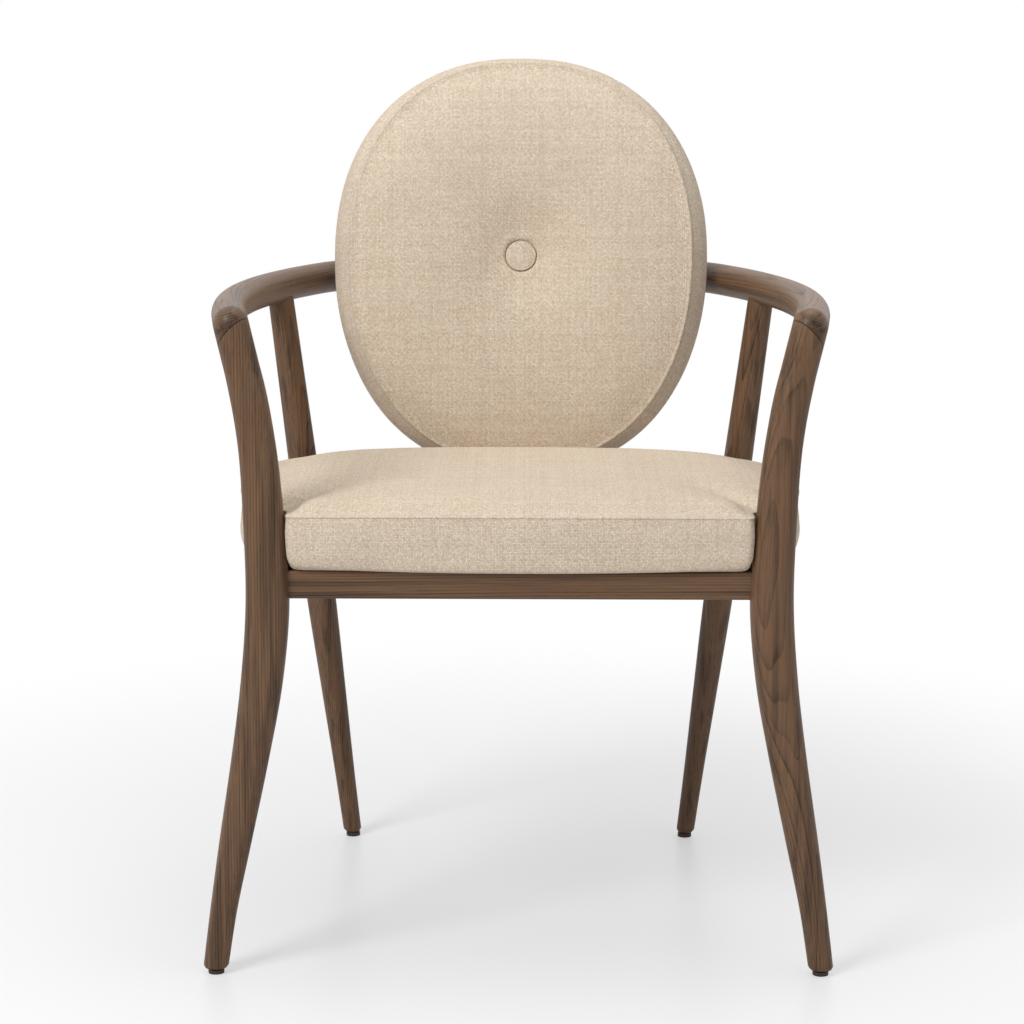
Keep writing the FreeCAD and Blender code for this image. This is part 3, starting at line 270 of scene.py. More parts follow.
class Reckoned:
    """A shader socket that Python's operators reckon with."""

    def __init__(self, tree: Tree, socket: bpy.types.NodeSocket) -> None:
        """Wraps a socket of a tree."""
        self.tree = tree
        self.socket = socket

    def maths(self, operation: str, *others: Any) -> "Reckoned":
        """One Math node on this value and others."""
        return node(
            self.tree, "ShaderNodeMath", {"operation": operation}, dict(enumerate((self, *others)))
        )

    def __add__(self, other: Any) -> "Reckoned":
        """Sum."""
        return self.maths("ADD", other)

    __radd__ = __add__

    def __mul__(self, other: Any) -> "Reckoned":
        """Product."""
        return self.maths("MULTIPLY", other)

    __rmul__ = __mul__

    def __sub__(self, other: Any) -> "Reckoned":
        """Difference."""
        return self.maths("SUBTRACT", other)

    def __rsub__(self, other: Any) -> "Reckoned":
        """Difference from a number."""
        return (self * -1.0) + other

    def __truediv__(self, other: Any) -> "Reckoned":
        """Quotient."""
        return self.maths("DIVIDE", other)

    def __pow__(self, other: Any) -> "Reckoned":
        """Power."""
        return self.maths("POWER", other)

    def floor(self) -> "Reckoned":
        """Whole part."""
        return self.maths("FLOOR")

    def fract(self) -> "Reckoned":
        """What is left over the whole part."""
        return self.maths("FRACT")

    def sine(self) -> "Reckoned":
        """Sine of the value in radians."""
        return self.maths("SINE")

    def lot(self) -> "Reckoned":
        """Number drawn by chance for each value."""
        return node(
            self.tree, "ShaderNodeTexWhiteNoise", {"noise_dimensions": "1D"}, {"W": self}, "Value"
        )

    def grey(self) -> "Reckoned":
        """Grey as light as the value."""
        return node(self.tree, "ShaderNodeCombineColor", {}, {0: self, 1: self, 2: self})

    def within(self, low: float, high: float) -> "Reckoned":
        """The value held between two limits."""
        return self.maths("MAXIMUM", low).maths("MINIMUM", high)

    def below(self, limit: Any) -> "Reckoned":
        """1 where the value is below a limit."""
        return self.maths("LESS_THAN", limit)

    def between(self, low: float, high: float, start: float = 0.0, end: float = 1.0) -> "Reckoned":
        """The value eased from one range to another, and held at its ends."""
        settings = {"interpolation_type": "SMOOTHSTEP", "clamp": True}
        return node(
            self.tree, "ShaderNodeMapRange", settings, {0: self, 1: low, 2: high, 3: start, 4: end}
        )


def node(
    tree: Tree, kind: str, settings: dict[str, Any], inputs: dict[Any, Any], output: Any = 0
) -> Reckoned:
    """Adds a node, sets it and feeds its sockets.

    Args:
        tree: Tree that gets the node.
        kind: Type name of the node.
        settings: Properties set first; "stops" fills a colour ramp.
        inputs: Value or link for each input, by name or number.
        output: Name or number of the output that is returned.

    Returns:
        The wrapped output.
    """
    made = tree.nodes.new(kind)
    for key, value in settings.items():
        if key == "stops":
            ramp = made.color_ramp.elements
            while len(ramp) < len(value):
                ramp.new(0.5)
            for element, (place, colour) in zip(ramp, value):
                element.position = place
                element.color = (*colour, 1.0)
        else:
            setattr(made, key, value)
    for key, value in inputs.items():
        if isinstance(value, Reckoned):
            tree.links.new(value.socket, made.inputs[key])
        elif isinstance(value, bpy.types.NodeSocket):
            tree.links.new(value, made.inputs[key])
        else:
            if isinstance(value, tuple) and made.inputs[key].type == "RGBA" and len(value) == 3:
                value = (*value, 1.0)
            made.inputs[key].default_value = value
    return Reckoned(tree, made.outputs[output])


def mixed(low: Any, high: Any, share: Any, blend: str = "MIX") -> Reckoned:
    """Colour between two others."""
    tree = next(v.tree for v in (low, high, share) if isinstance(v, Reckoned))
    settings = {"data_type": "RGBA", "blend_type": blend, "clamp_factor": True}
    return node(tree, "ShaderNodeMix", settings, {0: share, 6: low, 7: high}, 2)


def stretched(
    where: Reckoned, scale: tuple[float, float, float], shift: Sequence[float] = (0.0, 0.0, 0.0)
) -> Reckoned:
    """Coordinates scaled and shifted by a Mapping node."""
    return node(
        where.tree,
        "ShaderNodeMapping",
        {},
        {"Vector": where, "Scale": tuple(scale), "Location": tuple(shift)},
    )


def noise(where: Reckoned, scale: float, detail: float = 2.0, rough: float = 0.5) -> Reckoned:
    """Soft noise around one half."""
    inputs = {"Vector": where, "Scale": scale, "Detail": detail, "Roughness": rough}
    return node(where.tree, "ShaderNodeTexNoise", {"noise_dimensions": "3D"}, inputs)


def new_material(name: str) -> tuple[Material, Tree, bpy.types.ShaderNodeBsdfPrincipled]:
    """Empty node material with its surface shader."""
    material = bpy.data.materials.new(name)
    material.use_nodes = True
    tree = material.node_tree
    tree.nodes.clear()
    surface = tree.nodes.new("ShaderNodeBsdfPrincipled")
    output = tree.nodes.new("ShaderNodeOutputMaterial")
    tree.links.new(surface.outputs[0], output.inputs[0])
    return material, tree, surface


def feed(tree: Tree, surface: bpy.types.Node, **sockets: Any) -> None:
    """Sets or links sockets of the surface shader; underscores stand for spaces."""
    for key, value in sockets.items():
        socket = surface.inputs[key.replace("_", " ")]
        if isinstance(value, Reckoned):
            tree.links.new(value.socket, socket)
        else:
            socket.default_value = (*value, 1.0) if isinstance(value, tuple) and len(value) == 3 else value


def bumped(height: Reckoned, distance: float, strength: float = 1.0) -> Reckoned:
    """Normal of a surface raised by a height."""
    return node(
        height.tree, "ShaderNodeBump", {}, {"Height": height, "Distance": distance, "Strength": strength}
    )


def object_place(tree: Tree) -> Reckoned:
    """Object coordinates."""
    return node(tree, "ShaderNodeTexCoord", {}, {}, "Object")


def attribute(tree: Tree, name: str, output: str = "Fac") -> Reckoned:
    """An attribute of the mesh, as a number unless a vector is asked for."""
    return node(tree, "ShaderNodeAttribute", {"attribute_name": name}, {}, output)


def split(vector: Reckoned) -> tuple[Reckoned, Reckoned, Reckoned]:
    """The three numbers of a vector."""
    made = vector.tree.nodes.new("ShaderNodeSeparateXYZ")
    vector.tree.links.new(vector.socket, made.inputs[0])
    return tuple(Reckoned(vector.tree, made.outputs[i]) for i in range(3))


class Species(Enum):
    """Woods in the chair, with the colours of their early and late growth."""

    STAINED_ASH = (paint(112, 84, 61), paint(34, 22, 14))
    BEECH = (paint(214, 178, 138), paint(186, 143, 102))


@dataclass(frozen=True)
class WoodFinish:
    """Open-grained wood under satin lacquer, sawn at a distance from the pith.

    Lengths are metres. The lean is how far the pith moves across for each metre along; the
    bow is how much it bends, and the height of the bend's middle.
    """

    name: str
    species: Species = Species.STAINED_ASH
    pith: tuple[float, float] = (0.05, 0.02)
    lean: tuple[float, float] = (0.0, 0.0)
    ring: float = 0.0024
    waves: float = 0.0022
    contrast: float = 1.0
    from_plank: bool = True
    joint: bool = False
    bow: tuple[float, float] = (0.0, 0.0)

    def material(self) -> Material:
        """Growth rings, fibres and pores as one material."""
        material, tree, surface = new_material(self.name)
        place = attribute(tree, "grain", "Vector") if self.from_plank else object_place(tree)
        seed = sum(ord(letter) for letter in self.name) * 0.37
        x, y, z = split(place)
        slow = noise(stretched(place, (9, 9, 1.6), (seed, 0, 0)), 1.0, 2.0)
        quick = noise(stretched(place, (70, 70, 9), (0, seed, 0)), 1.0, 2.0)
        across = x - self.pith[0] - z * self.lean[0]
        over = y - self.pith[1] - z * self.lean[1]
        if self.bow[0]:
            over = over - (z - self.bow[1]) * (z - self.bow[1]) * self.bow[0]
        wander = (slow - 0.5) * (self.waves * 4)
        shiver = (quick - 0.5) * (self.waves * 0.22)
        rings = ((across * across + over * over) ** 0.5 + wander + shiver) / self.ring
        phase = rings.fract()
        lot = rings.floor().lot()
        greys = ((0.0, 1), (0.10, 0.85), (0.30, 0.30), (0.62, 0.08), (0.955, 0), (1.0, 1))
        stops = [(at, (grey, grey, grey)) for at, grey in greys]
        early = node(tree, "ShaderNodeValToRGB", {"stops": stops}, {0: phase})
        fibre = noise(stretched(place, (620, 620, 11), (seed, seed, 0)), 1.0, 3.0, 0.6)
        fine = noise(stretched(place, (2100, 2100, 46), (0, seed, seed)), 1.0, 2.0, 0.6)
        pore = fine.between(0.53, 0.66) * (early * 0.85 + 0.15)
        cloudy = noise(stretched(place, (24, 24, 3), (seed, 2, 1)), 1.0, 2.0)
        light, dark = self.species.value
        line = early * (lot * 0.75 + 0.25) * self.contrast
        bands = noise(stretched(place, (150, 150, 2.4), (seed, 1, 0)), 1.0, 1.0)
        broad = bands.between(0.46, 0.70, 0.0, 0.42)
        end = attribute(tree, "end_grain")
        shade = line * 0.62 + pore * 0.40 + broad + end.between(0.45, 0.95, 0.0, 0.42)
        if self.joint:
            gap = attribute(tree, "joint").maths("ABSOLUTE")
            shade = shade + gap.between(0.0001, 0.0008, 1.0, 0.0)
        shade = shade.maths("MINIMUM", 1.0)
        base = mixed(light, dark, shade)
        tone = (fibre - 0.5) * 1.1 + (cloudy - 0.5) * 0.6 + 1.0
        base = mixed(base, tone.grey(), 1.0, "MULTIPLY")
        rough = 0.37 + (fibre - 0.5) * 0.2 + pore * 0.24
        height = (1.0 - pore) * 0.7 + fibre * 0.3 - early * 0.25
        feed(
            tree,
            surface,
            Base_Color=base,
            Roughness=rough,
            Normal=bumped(height, 0.00022, 0.5),
            Specular_IOR_Level=0.27,
        )
        return material


@dataclass(frozen=True)
class MelangeCloth:
    """Plain-dyed upholstery twill of mixed yarns; the UV map is in metres."""

    name: str = "beige_melange_twill"
    pitch: float = 0.0015
    cream: Colour = paint(238, 224, 205)
    tan: Colour = paint(201, 176, 146)
    grey: Colour = paint(204, 190, 172)

    def yarn(self, across: Reckoned, along: Reckoned, offset: float) -> tuple[Reckoned, Reckoned]:
        """Colour and roundness of one set of yarns.

        Args:
            across: Yarn count across the set.
            along: Yarn count along the set.
            offset: Number that makes this set's yarns differ from the other's.

        Returns:
            The colour and the height of each yarn's round back.
        """
        tree = across.tree
        which = across.floor()
        lot = (which + offset).lot()
        where = node(
            tree, "ShaderNodeCombineXYZ", {}, {0: which * 3.7 + offset, 1: along * 0.55, 2: lot * 40}
        )
        slub = noise(where, 1.0, 2.0, 0.6)
        share = (slub - 0.5) * 2.6 + lot * 0.35 + 0.22
        colour = mixed(self.cream, self.tan, share.within(0.0, 1.0))
        colour = mixed(colour, self.grey, (noise(where, 0.9, 1.0) * 3 - 1.45).within(0.0, 0.6))
        back = (across.fract() * math.pi).sine()
        return colour, back ** 0.6 + (slub - 0.5) * 0.3

    def material(self) -> Material:
        """Twill of two sets of yarns, with painted shade in the hollows of the weave."""
        material, tree, surface = new_material(self.name)
        flat = node(tree, "ShaderNodeUVMap", {"uv_map": "cloth"}, {})
        wander = noise(stretched(flat, (60, 60, 1)), 1.0, 1.0)
        u, v, _ = split(flat)
        warp = u / self.pitch + (wander - 0.5) * 0.8
        weft = v / self.pitch + (wander - 0.5) * 0.8
        turn = ((warp.floor() + weft.floor()) * 0.25).fract()
        over = turn.below(0.45)
        warp_colour, warp_back = self.yarn(warp, weft, 0.0)
        weft_colour, weft_back = self.yarn(weft, warp, 571.0)
        colour = mixed(weft_colour, warp_colour, over)
        back = weft_back + (warp_back - weft_back) * over
        float_end = ((warp + weft) * 0.25).fract()
        dip = (float_end * (2 * math.pi)).sine().maths("ABSOLUTE") ** 0.5
        height = back * (dip * 0.5 + 0.5)
        # Painted shade: the colour is darkened where the weave's height is low, in the hollows between and
        # along the yarns; the slow cloud on it is a random tone.
        shade = height.between(0.05, 0.85, 0.68, 1.05)
        cloud = noise(stretched(flat, (17, 17, 1)), 1.0, 3.0)
        tone = shade * ((cloud - 0.5) * 0.14 + 1.0)
        colour = mixed(colour, tone.grey(), 1.0, "MULTIPLY")
        rough = 0.93 - height * 0.1
        feed(tree, surface, Base_Color=colour, Roughness=rough, Normal=bumped(height, 0.0005, 0.75))
        surface.inputs["Specular IOR Level"].default_value = 0.2
        surface.inputs["Sheen Weight"].default_value = 0.25
        surface.inputs["Sheen Roughness"].default_value = 0.5
        surface.inputs["Sheen Tint"].default_value = (*self.cream, 1.0)
        return material


@dataclass(frozen=True)
class PlainFinish:
    """Plastic, metal, thread, ply or lining with its own small unevenness."""

    name: str
    colour: Colour
    second: Colour
    grain: tuple[float, float, float] = (400, 400, 400)
    roughness: float = 0.5
    metallic: float = 0.0
    bump: float = 0.0001

    def material(self) -> Material:
        """Mottled material of the finish."""
        material, tree, surface = new_material(self.name)
        place = stretched(object_place(tree), self.grain)
        mottle = noise(place, 1.0, 3.0, 0.6)
        base = mixed(self.colour, self.second, mottle.between(0.35, 0.68))
        rough = self.roughness + (mottle - 0.5) * 0.25
        feed(
            tree,
            surface,
            Base_Color=base,
            Roughness=rough,
            Metallic=self.metallic,
            Normal=bumped(mottle, self.bump, 0.6),
        )
        return material


# Repeated and swept pieces


class GrownPiece:
    """Geometry Nodes tree with named inputs that turns a path into a plain mesh."""

    def __init__(self, name: str) -> None:
        """Starts a tree that takes a path."""
        self.tree = bpy.data.node_groups.new(name, "GeometryNodeTree")
        self.values: dict[str, Any] = {}
        self.tree.interface.new_socket(name="Path", in_out="INPUT", socket_type="NodeSocketGeometry")
        self.tree.interface.new_socket(name="Geometry", in_out="OUTPUT", socket_type="NodeSocketGeometry")
        self.source = self.tree.nodes.new("NodeGroupInput")

    def size(self, name: str, kind: str, value: Any) -> bpy.types.NodeSocket:
        """Adds a named input and keeps its value for the modifier."""
        socket = self.tree.interface.new_socket(name=name, in_out="INPUT", socket_type=kind)
        self.values[socket.identifier] = value
        return self.source.outputs[name]

    def step(
        self, kind: str, settings: dict[str, Any], inputs: dict[Any, Any], output: Any = 0
    ) -> Reckoned:
        """Adds a node of the tree."""
        return node(self.tree, kind, settings, inputs, output)

    def grow(
        self, name: str, path: Array, closed: bool, last: Reckoned, dress: Material
    ) -> Piece:
        """Runs the tree on a path and keeps the result as mesh.

        Args:
            name: Name of the piece.
            path: Points in metres.
            closed: Whether the path returns to its start.
            last: Geometry that the tree has made.
            dress: Material set on it.

        Returns:
            The finished object.
        """
        finish = self.size("Finish", "NodeSocketMaterial", dress)
        whole = self.step("GeometryNodeRealizeInstances", {}, {0: last})
        coated = self.step("GeometryNodeSetMaterial", {}, {"Geometry": whole, "Material": finish})
        out = self.tree.nodes.new("NodeGroupOutput")
        self.tree.links.new(coated.socket, out.inputs[0])
        mesh = bpy.data.meshes.new(name)
        edges = [(k, k + 1) for k in range(len(path) - 1)] + ([(len(path) - 1, 0)] if closed else [])
        mesh.from_pydata([tuple(p) for p in path], edges, [])
        piece = bpy.data.objects.new(name, mesh)
        bpy.context.scene.collection.objects.link(piece)
        modifier = piece.modifiers.new(name, "NODES")
        modifier.node_group = self.tree
        for identifier, value in self.values.items():
            modifier[identifier] = value
        baked(piece)
        return piece


def swept_bar(name: str, path: Array, radius: float, dress: Material) -> Piece:
    """Round bar along a path, with closed ends."""
    grown = GrownPiece(name)
    thickness = grown.size("Radius", "NodeSocketFloat", radius)
    curve = grown.step("GeometryNodeMeshToCurve", {}, {0: grown.source.outputs["Path"]})
    circle = grown.step(
        "GeometryNodeCurvePrimitiveCircle", {"mode": "RADIUS"}, {"Resolution": 56, "Radius": thickness}
    )
    skin = grown.step(
        "GeometryNodeCurveToMesh", {}, {"Curve": curve, "Profile Curve": circle, "Fill Caps": True}
    )
    smooth = grown.step("GeometryNodeSetShadeSmooth", {}, {0: skin, "Shade Smooth": True})
    return grown.grow(name, path, False, smooth, dress)


class Fastener(Enum):
    """Small things repeated along a path: length, thickness and spacing in metres."""

    STITCH = (0.0030, 0.00042, 0.0046)
    STAPLE = (0.0100, 0.00060, 0.0260)


def repeated(
    name: str, path: Array, closed: bool, kind: Fastener, dress: Material
) -> Piece:
    """Stitches or staples laid end to end along a path."""
    length, thickness, spacing = kind.value
    grown = GrownPiece(name)
    gap = grown.size("Spacing", "NodeSocketFloat", spacing)
    long = grown.size("Length", "NodeSocketFloat", length / 2)
    thick = grown.size("Thickness", "NodeSocketFloat", thickness)
    curve = grown.step("GeometryNodeMeshToCurve", {}, {0: grown.source.outputs["Path"]})
    points = grown.step("GeometryNodeCurveToPoints", {"mode": "LENGTH"}, {"Curve": curve, "Length": gap})
    tangent = Reckoned(grown.tree, points.socket.node.outputs["Tangent"])
    facing = grown.step("FunctionNodeAlignRotationToVector", {"axis": "Z"}, {"Vector": tangent})
    bead = grown.step("GeometryNodeMeshUVSphere", {}, {"Segments": 8, "Rings": 6, "Radius": 1.0})
    size = grown.step("ShaderNodeCombineXYZ", {}, {0: thick, 1: thick, 2: long})
    laid = grown.step(
        "GeometryNodeInstanceOnPoints",
        {},
        {"Points": points, "Instance": bead, "Rotation": facing, "Scale": size},
    )
    smooth = grown.step(
        "GeometryNodeSetShadeSmooth", {}, {0: grown.step("GeometryNodeRealizeInstances", {}, {0: laid})}
    )
    return grown.grow(name, path, closed, smooth, dress)


# Wood frame


def kept(piece: Piece, slot: str, *nodes: str) -> Piece:
    """Rides a piece on the chair, in the place of CAD nodes, and reports it."""
    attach(piece, "root")
    if nodes:
        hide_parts(*nodes)
    LOG.info("%s: %d faces", piece.name, len(piece.data.polygons))
    return piece


CORNER_STEPS = 13
RING_TURNS = np.radians(
    [90 * quarter + 90 * step / CORNER_STEPS for quarter in range(4) for step in range(CORNER_STEPS + 1)]
)


def rounded_ring(width: Array, depth: Array, radius: Array, steps: int = CORNER_STEPS) -> Array:
    """Rounded rectangles, one for each row of sizes.

    Args:
        width: Whole width of each.
        depth: Whole depth of each.
        radius: Corner radius of each.
        steps: Steps round each corner.

    Returns:
        Rows of flat points.
    """
    columns = []
    for quarter, (side, front) in enumerate(((1, 1), (-1, 1), (-1, -1), (1, -1))):
        for step in range(steps + 1):
            turn = math.radians(90 * quarter + 90 * step / steps)
            x = side * (width / 2 - radius) + radius * math.cos(turn)
            y = front * (depth / 2 - radius) + radius * math.sin(turn)
            columns.append(np.stack([x, y], axis=-1))
    return np.stack(columns, axis=1)


@dataclass
class HorseshoeRail:
    """Round bar bent to a horseshoe: bow, two arms, and the elbows down to the front legs."""

    radius: float = 17.4
    centre_z: float = 653.04
    rear_y: float = 572.5
    arcs: tuple[tuple[float, float], ...] = ((413.0, 22.0), (136.0, 42.0), (682.0, 33.4))
    corner_y: float = 10.0
    leg_lean: float = 13.0
    joint_drop: float = 9.0
    joint_rises: tuple[float, float] = (44.0, 24.0)
    elbow: float = 5.0
    straight_steps: int = 14
    elbow_steps: int = 17
    stub_drops: tuple[float, float, float] = (6.0, 12.0, 18.0)
    grain_step: float = 3.0
    grain_overrun: float = 30.0

    def __post_init__(self) -> None:
        """Works out the corner, the joint and the centre line of the right half."""
        self.full_turn = sum(sweep for _, sweep in self.arcs)
        self.bow_turn = self.arcs[0][1]
        end = self.at(self.full_turn)
        self.ahead = self.direction(self.full_turn)
        self.corner = end + self.ahead * (end[1] - self.corner_y) / -self.ahead[1]
        lean = math.radians(self.leg_lean)
        self.down = np.array([-math.sin(lean), 0.0, -math.cos(lean)])
        self.joint = self.corner + self.down * self.joint_drop
        rise = [math.tan(math.radians(angle)) for angle in self.joint_rises]
        self.joint_normal = np.array([rise[0], rise[1], 1.0]) / math.hypot(*rise, 1.0)

    def at(self, turn: float) -> Array:
        """Point of the right half's centre line where it has turned by an angle."""
        x, y, begun = 0.0, self.rear_y, 0.0
        for radius, sweep in self.arcs:
            ended = min(begun + sweep, turn)
            if ended > begun:
                x += radius * (math.sin(math.radians(ended)) - math.sin(math.radians(begun)))
                y -= radius * (math.cos(math.radians(begun)) - math.cos(math.radians(ended)))
            begun += sweep
        return np.array([x, y, self.centre_z])

    def direction(self, turn: float) -> Array:
        """Direction of the right half where it has turned by an angle."""
        return np.array([math.cos(math.radians(turn)), -math.sin(math.radians(turn)), 0.0])

    def half_line(self, start: float, end: float, step: float = 6.0) -> tuple[Array, Array]:
        """Points and directions along the right half between two turns."""
        points, ways = [], []
        begun = 0.0
        for radius, sweep in self.arcs:
            low, high = max(begun, start), min(begun + sweep, end)
            if high > low:
                count = max(2, int(math.radians(high - low) * radius / step) + 1)
                for turn in np.linspace(low, high, count)[0 if not points else 1 :]:
                    points.append(self.at(turn))
                    ways.append(self.direction(turn))
            begun += sweep
        return np.array(points), np.array(ways)

    def ring(self, centre: Array, outward: Array, side: Array, half: float) -> Array:
        """Ring in the plane of a side direction and an outward one, half as deep as given."""
        across = self.radius * np.outer(np.cos(RING_TURNS), side)
        return centre + across - half * np.outer(np.sin(RING_TURNS), outward)

    def side(self) -> Array:
        """Direction square to both legs of the elbow."""
        across = np.cross(self.ahead, self.down)
        return across / np.linalg.norm(across)

    def arm_rings(self) -> Array:
        """Rings of the right arm from the bow's joint round the elbow to below the leg joint."""
        side = self.side()
        outward = np.cross(side, self.ahead)
        outward /= np.linalg.norm(outward)
        if outward[2] < 0:
            outward = -outward
        rings = []
        points, ways = self.half_line(self.bow_turn, self.full_turn)
        straight = np.linspace(0, 1, self.straight_steps)[1:]
        reach = self.radius + self.elbow
        stop = self.corner - self.ahead * reach
        for share in straight:
            points = np.vstack([points, self.at(self.full_turn) * (1 - share) + stop * share])
            ways = np.vstack([ways, self.ahead])
        for point, way in zip(points, ways):
            up = outward - way * outward.dot(way)
            up /= np.linalg.norm(up)
            across = np.cross(way, up)
            rings.append(self.ring(point, up, across * np.sign(across.dot(side)), self.radius))
        last_out = np.cross(side, self.down)
        last_out /= np.linalg.norm(last_out)
        if last_out.dot(self.ahead) < 0:
            last_out = -last_out
        opening = math.acos(float(np.clip(outward.dot(last_out), -1, 1)))
        pivot = stop - outward * reach
        for share in np.linspace(0, 1, self.elbow_steps)[1:]:
            turn = share * opening
            ray = (outward * math.sin(opening - turn) + last_out * math.sin(turn)) / math.sin(opening)
            far = self.outer_reach(pivot, ray, outward, last_out)
            centre = pivot + ray * (self.elbow + far) / 2
            rings.append(self.ring(centre, ray, side, (far - self.elbow) / 2))
        foot = pivot + last_out * reach
        for drop in self.stub_drops:
            rings.append(self.ring(foot + self.down * drop, last_out, side, self.radius))
        return np.array(rings)

    def outer_reach(self, pivot: Array, ray: Array, out_a: Array, out_b: Array) -> float:
        """Distance along a ray to the outside of the elbow: two bars and a ball."""
        for out, way, sign in ((out_a, self.ahead, 1), (out_b, self.down, -1)):
            distance = (self.radius - (pivot - self.corner).dot(out)) / max(ray.dot(out), 1e-6)
            if sign * (pivot + ray * distance - self.corner).dot(way) <= 0:
                return distance
        gap = pivot - self.corner
        middle = -gap.dot(ray)
        return middle + math.sqrt(max(middle**2 - gap.dot(gap) + self.radius**2, 0.0))

    def plank_grain(self, piece: Piece, mirror: float) -> tuple[Array, Array]:
        """Place and direction of grain that follows the bar and runs straight on at the elbow."""
        points, ways = self.half_line(0.0, self.full_turn, self.grain_step)
        tail = np.linspace(0, 1, 40)[1:, None]
        points = np.vstack(
            [
                points,
                self.at(self.full_turn) * (1 - tail) + (
                    self.corner + self.ahead * self.grain_overrun
                ) * tail,
            ]
        )
        ways = np.vstack([ways, np.repeat(self.ahead[None], len(tail), axis=0)])
        run = np.concatenate([[0.0], np.cumsum(np.linalg.norm(np.diff(points, axis=0), axis=1))])
        own = mesh_points(piece) * 1000 + MIDDLE
        own[:, 0] *= mirror
        flip = np.sign(own[:, 0])
        own[:, 0] *= flip
        nearest = np.argmin(((own[:, None, :2] - points[None, :, :2]) ** 2).sum(axis=2), axis=1)
        offset = own - points[nearest]
        way = ways[nearest]
        across = offset[:, 0] * -way[:, 1] + offset[:, 1] * way[:, 0]
        along = (run[nearest] + (offset * way).sum(axis=1)) * flip
        turned = way * np.stack([mirror * flip, np.ones(len(own)), np.ones(len(own))], axis=1)
        return np.stack([across, offset[:, 2], along], axis=1) / 1000, turned

    def build_bow(self, dress: Material, holes: Sequence[tuple[Array, Array, float]]) -> None:
        """Sweeps the bow behind the back and bores it for the bolts."""
        half, _ = self.half_line(0.0, self.bow_turn, 5.0)
        path = np.vstack([half[::-1] * [-1, 1, 1], half[1:]])
        piece = swept_bar("arm_bow", placed(path), self.radius / 1000, dress)
        drilled(piece, holes)
        lay_grain(piece, *self.plank_grain(piece, 1))
        kept(sharpened(piece), "walnut_stain", "arm_rail_bow")

    def build_arm(self, name: str, mirror: float, dress: Material) -> None:
        """Builds an arm with its elbow and the stub down to the leg joint."""
        flip = np.array([mirror, 1, 1])
        piece = ring_object(name + "_wood", self.arm_rings() * flip)
        cut_off(piece, placed(self.joint * flip), -self.joint_normal * flip)
        piece.data.materials.append(dress)
        lay_grain(piece, *self.plank_grain(piece, mirror))
        kept(sharpened(piece), "walnut_stain", name)


@dataclass
class ChairLeg:
    """One leg: rounded sections along a line of stations.

    Stations are height, place across, place to the rear, width, depth and corner radius.
    """

    name: str
    stations: list[tuple[float, float, float, float, float, float]]
    turn: float = 0.0
    lean: float = 0.0
    lean_from: float = 556.0
    chamfer: float = 3.0
    chamfer_lean: float = 0.55
    ring_gap: float = 7.0
    above: Array | None = None

    def rings(self) -> Array:
        """Rings from the chamfered foot to the top."""
        table = np.array(self.stations)
        low = table[0, 0]
        high = table[-1, 0] if self.above is None else table[-3, 0]
        heights = np.concatenate(
            [
                [low, low + self.chamfer / 2, low + self.chamfer],
                np.arange(low, high, self.ring_gap)[1:],
                [high],
            ]
        )
        heights = np.unique(np.round(heights, 3))
        rows = smooth_through(table[:, 0], table[:, 1:], heights)
        inset = np.where(heights <= low, 2 * self.chamfer * self.chamfer_lean, 0.0)
        inset = np.maximum(
            inset, 2 * self.chamfer * self.chamfer_lean * (
                1 - smoothstep(low, low + self.chamfer, heights)
            )
        )
        flat = rounded_ring(
            rows[:, 2] - inset, rows[:, 3] - inset, np.maximum(rows[:, 4] - inset / 3, 1.0)
        )
        turn = math.radians(self.turn)
        x = flat[..., 0] * math.cos(turn) - flat[..., 1] * math.sin(turn)
        y = flat[..., 0] * math.sin(turn) + flat[..., 1] * math.cos(turn)
        rings = np.stack([x, y, np.zeros_like(x)], axis=-1)
        share = smoothstep(self.lean_from, heights[-1], heights)[:, None] if self.lean else 0.0
        lean = math.radians(self.lean)
        rings[..., 2] -= rings[..., 0] * math.sin(lean) * share
        rings[..., 0] *= 1 - (1 - math.cos(lean)) * share
        rings[..., 0] += rows[:, None, 0]
        rings[..., 1] += rows[:, None, 1]
        rings[..., 2] += heights[:, None]
        return rings if self.above is None else np.concatenate([rings, self.above])

    def build(
        self, mirror: float, dress: Material, cut: tuple[Array, Array] | None = None
    ) -> Piece:
        """Builds the leg on one side and cuts its top where a joint plane is given."""
        flip = np.array([mirror, 1, 1])
        piece = ring_object(self.name + "_wood", self.rings() * flip)
        if cut is not None:
            cut_off(piece, placed(cut[0] * flip), cut[1] * flip)
        piece.data.materials.append(dress)
        own = mesh_points(piece)
        anchor = placed(np.array([[mirror * self.stations[4][1], self.stations[4][2], 0.0]]))
        lay_grain(piece, own - anchor, np.array([0.0, 0.0, 1.0]))
        return kept(sharpened(piece), "walnut_stain", self.name)


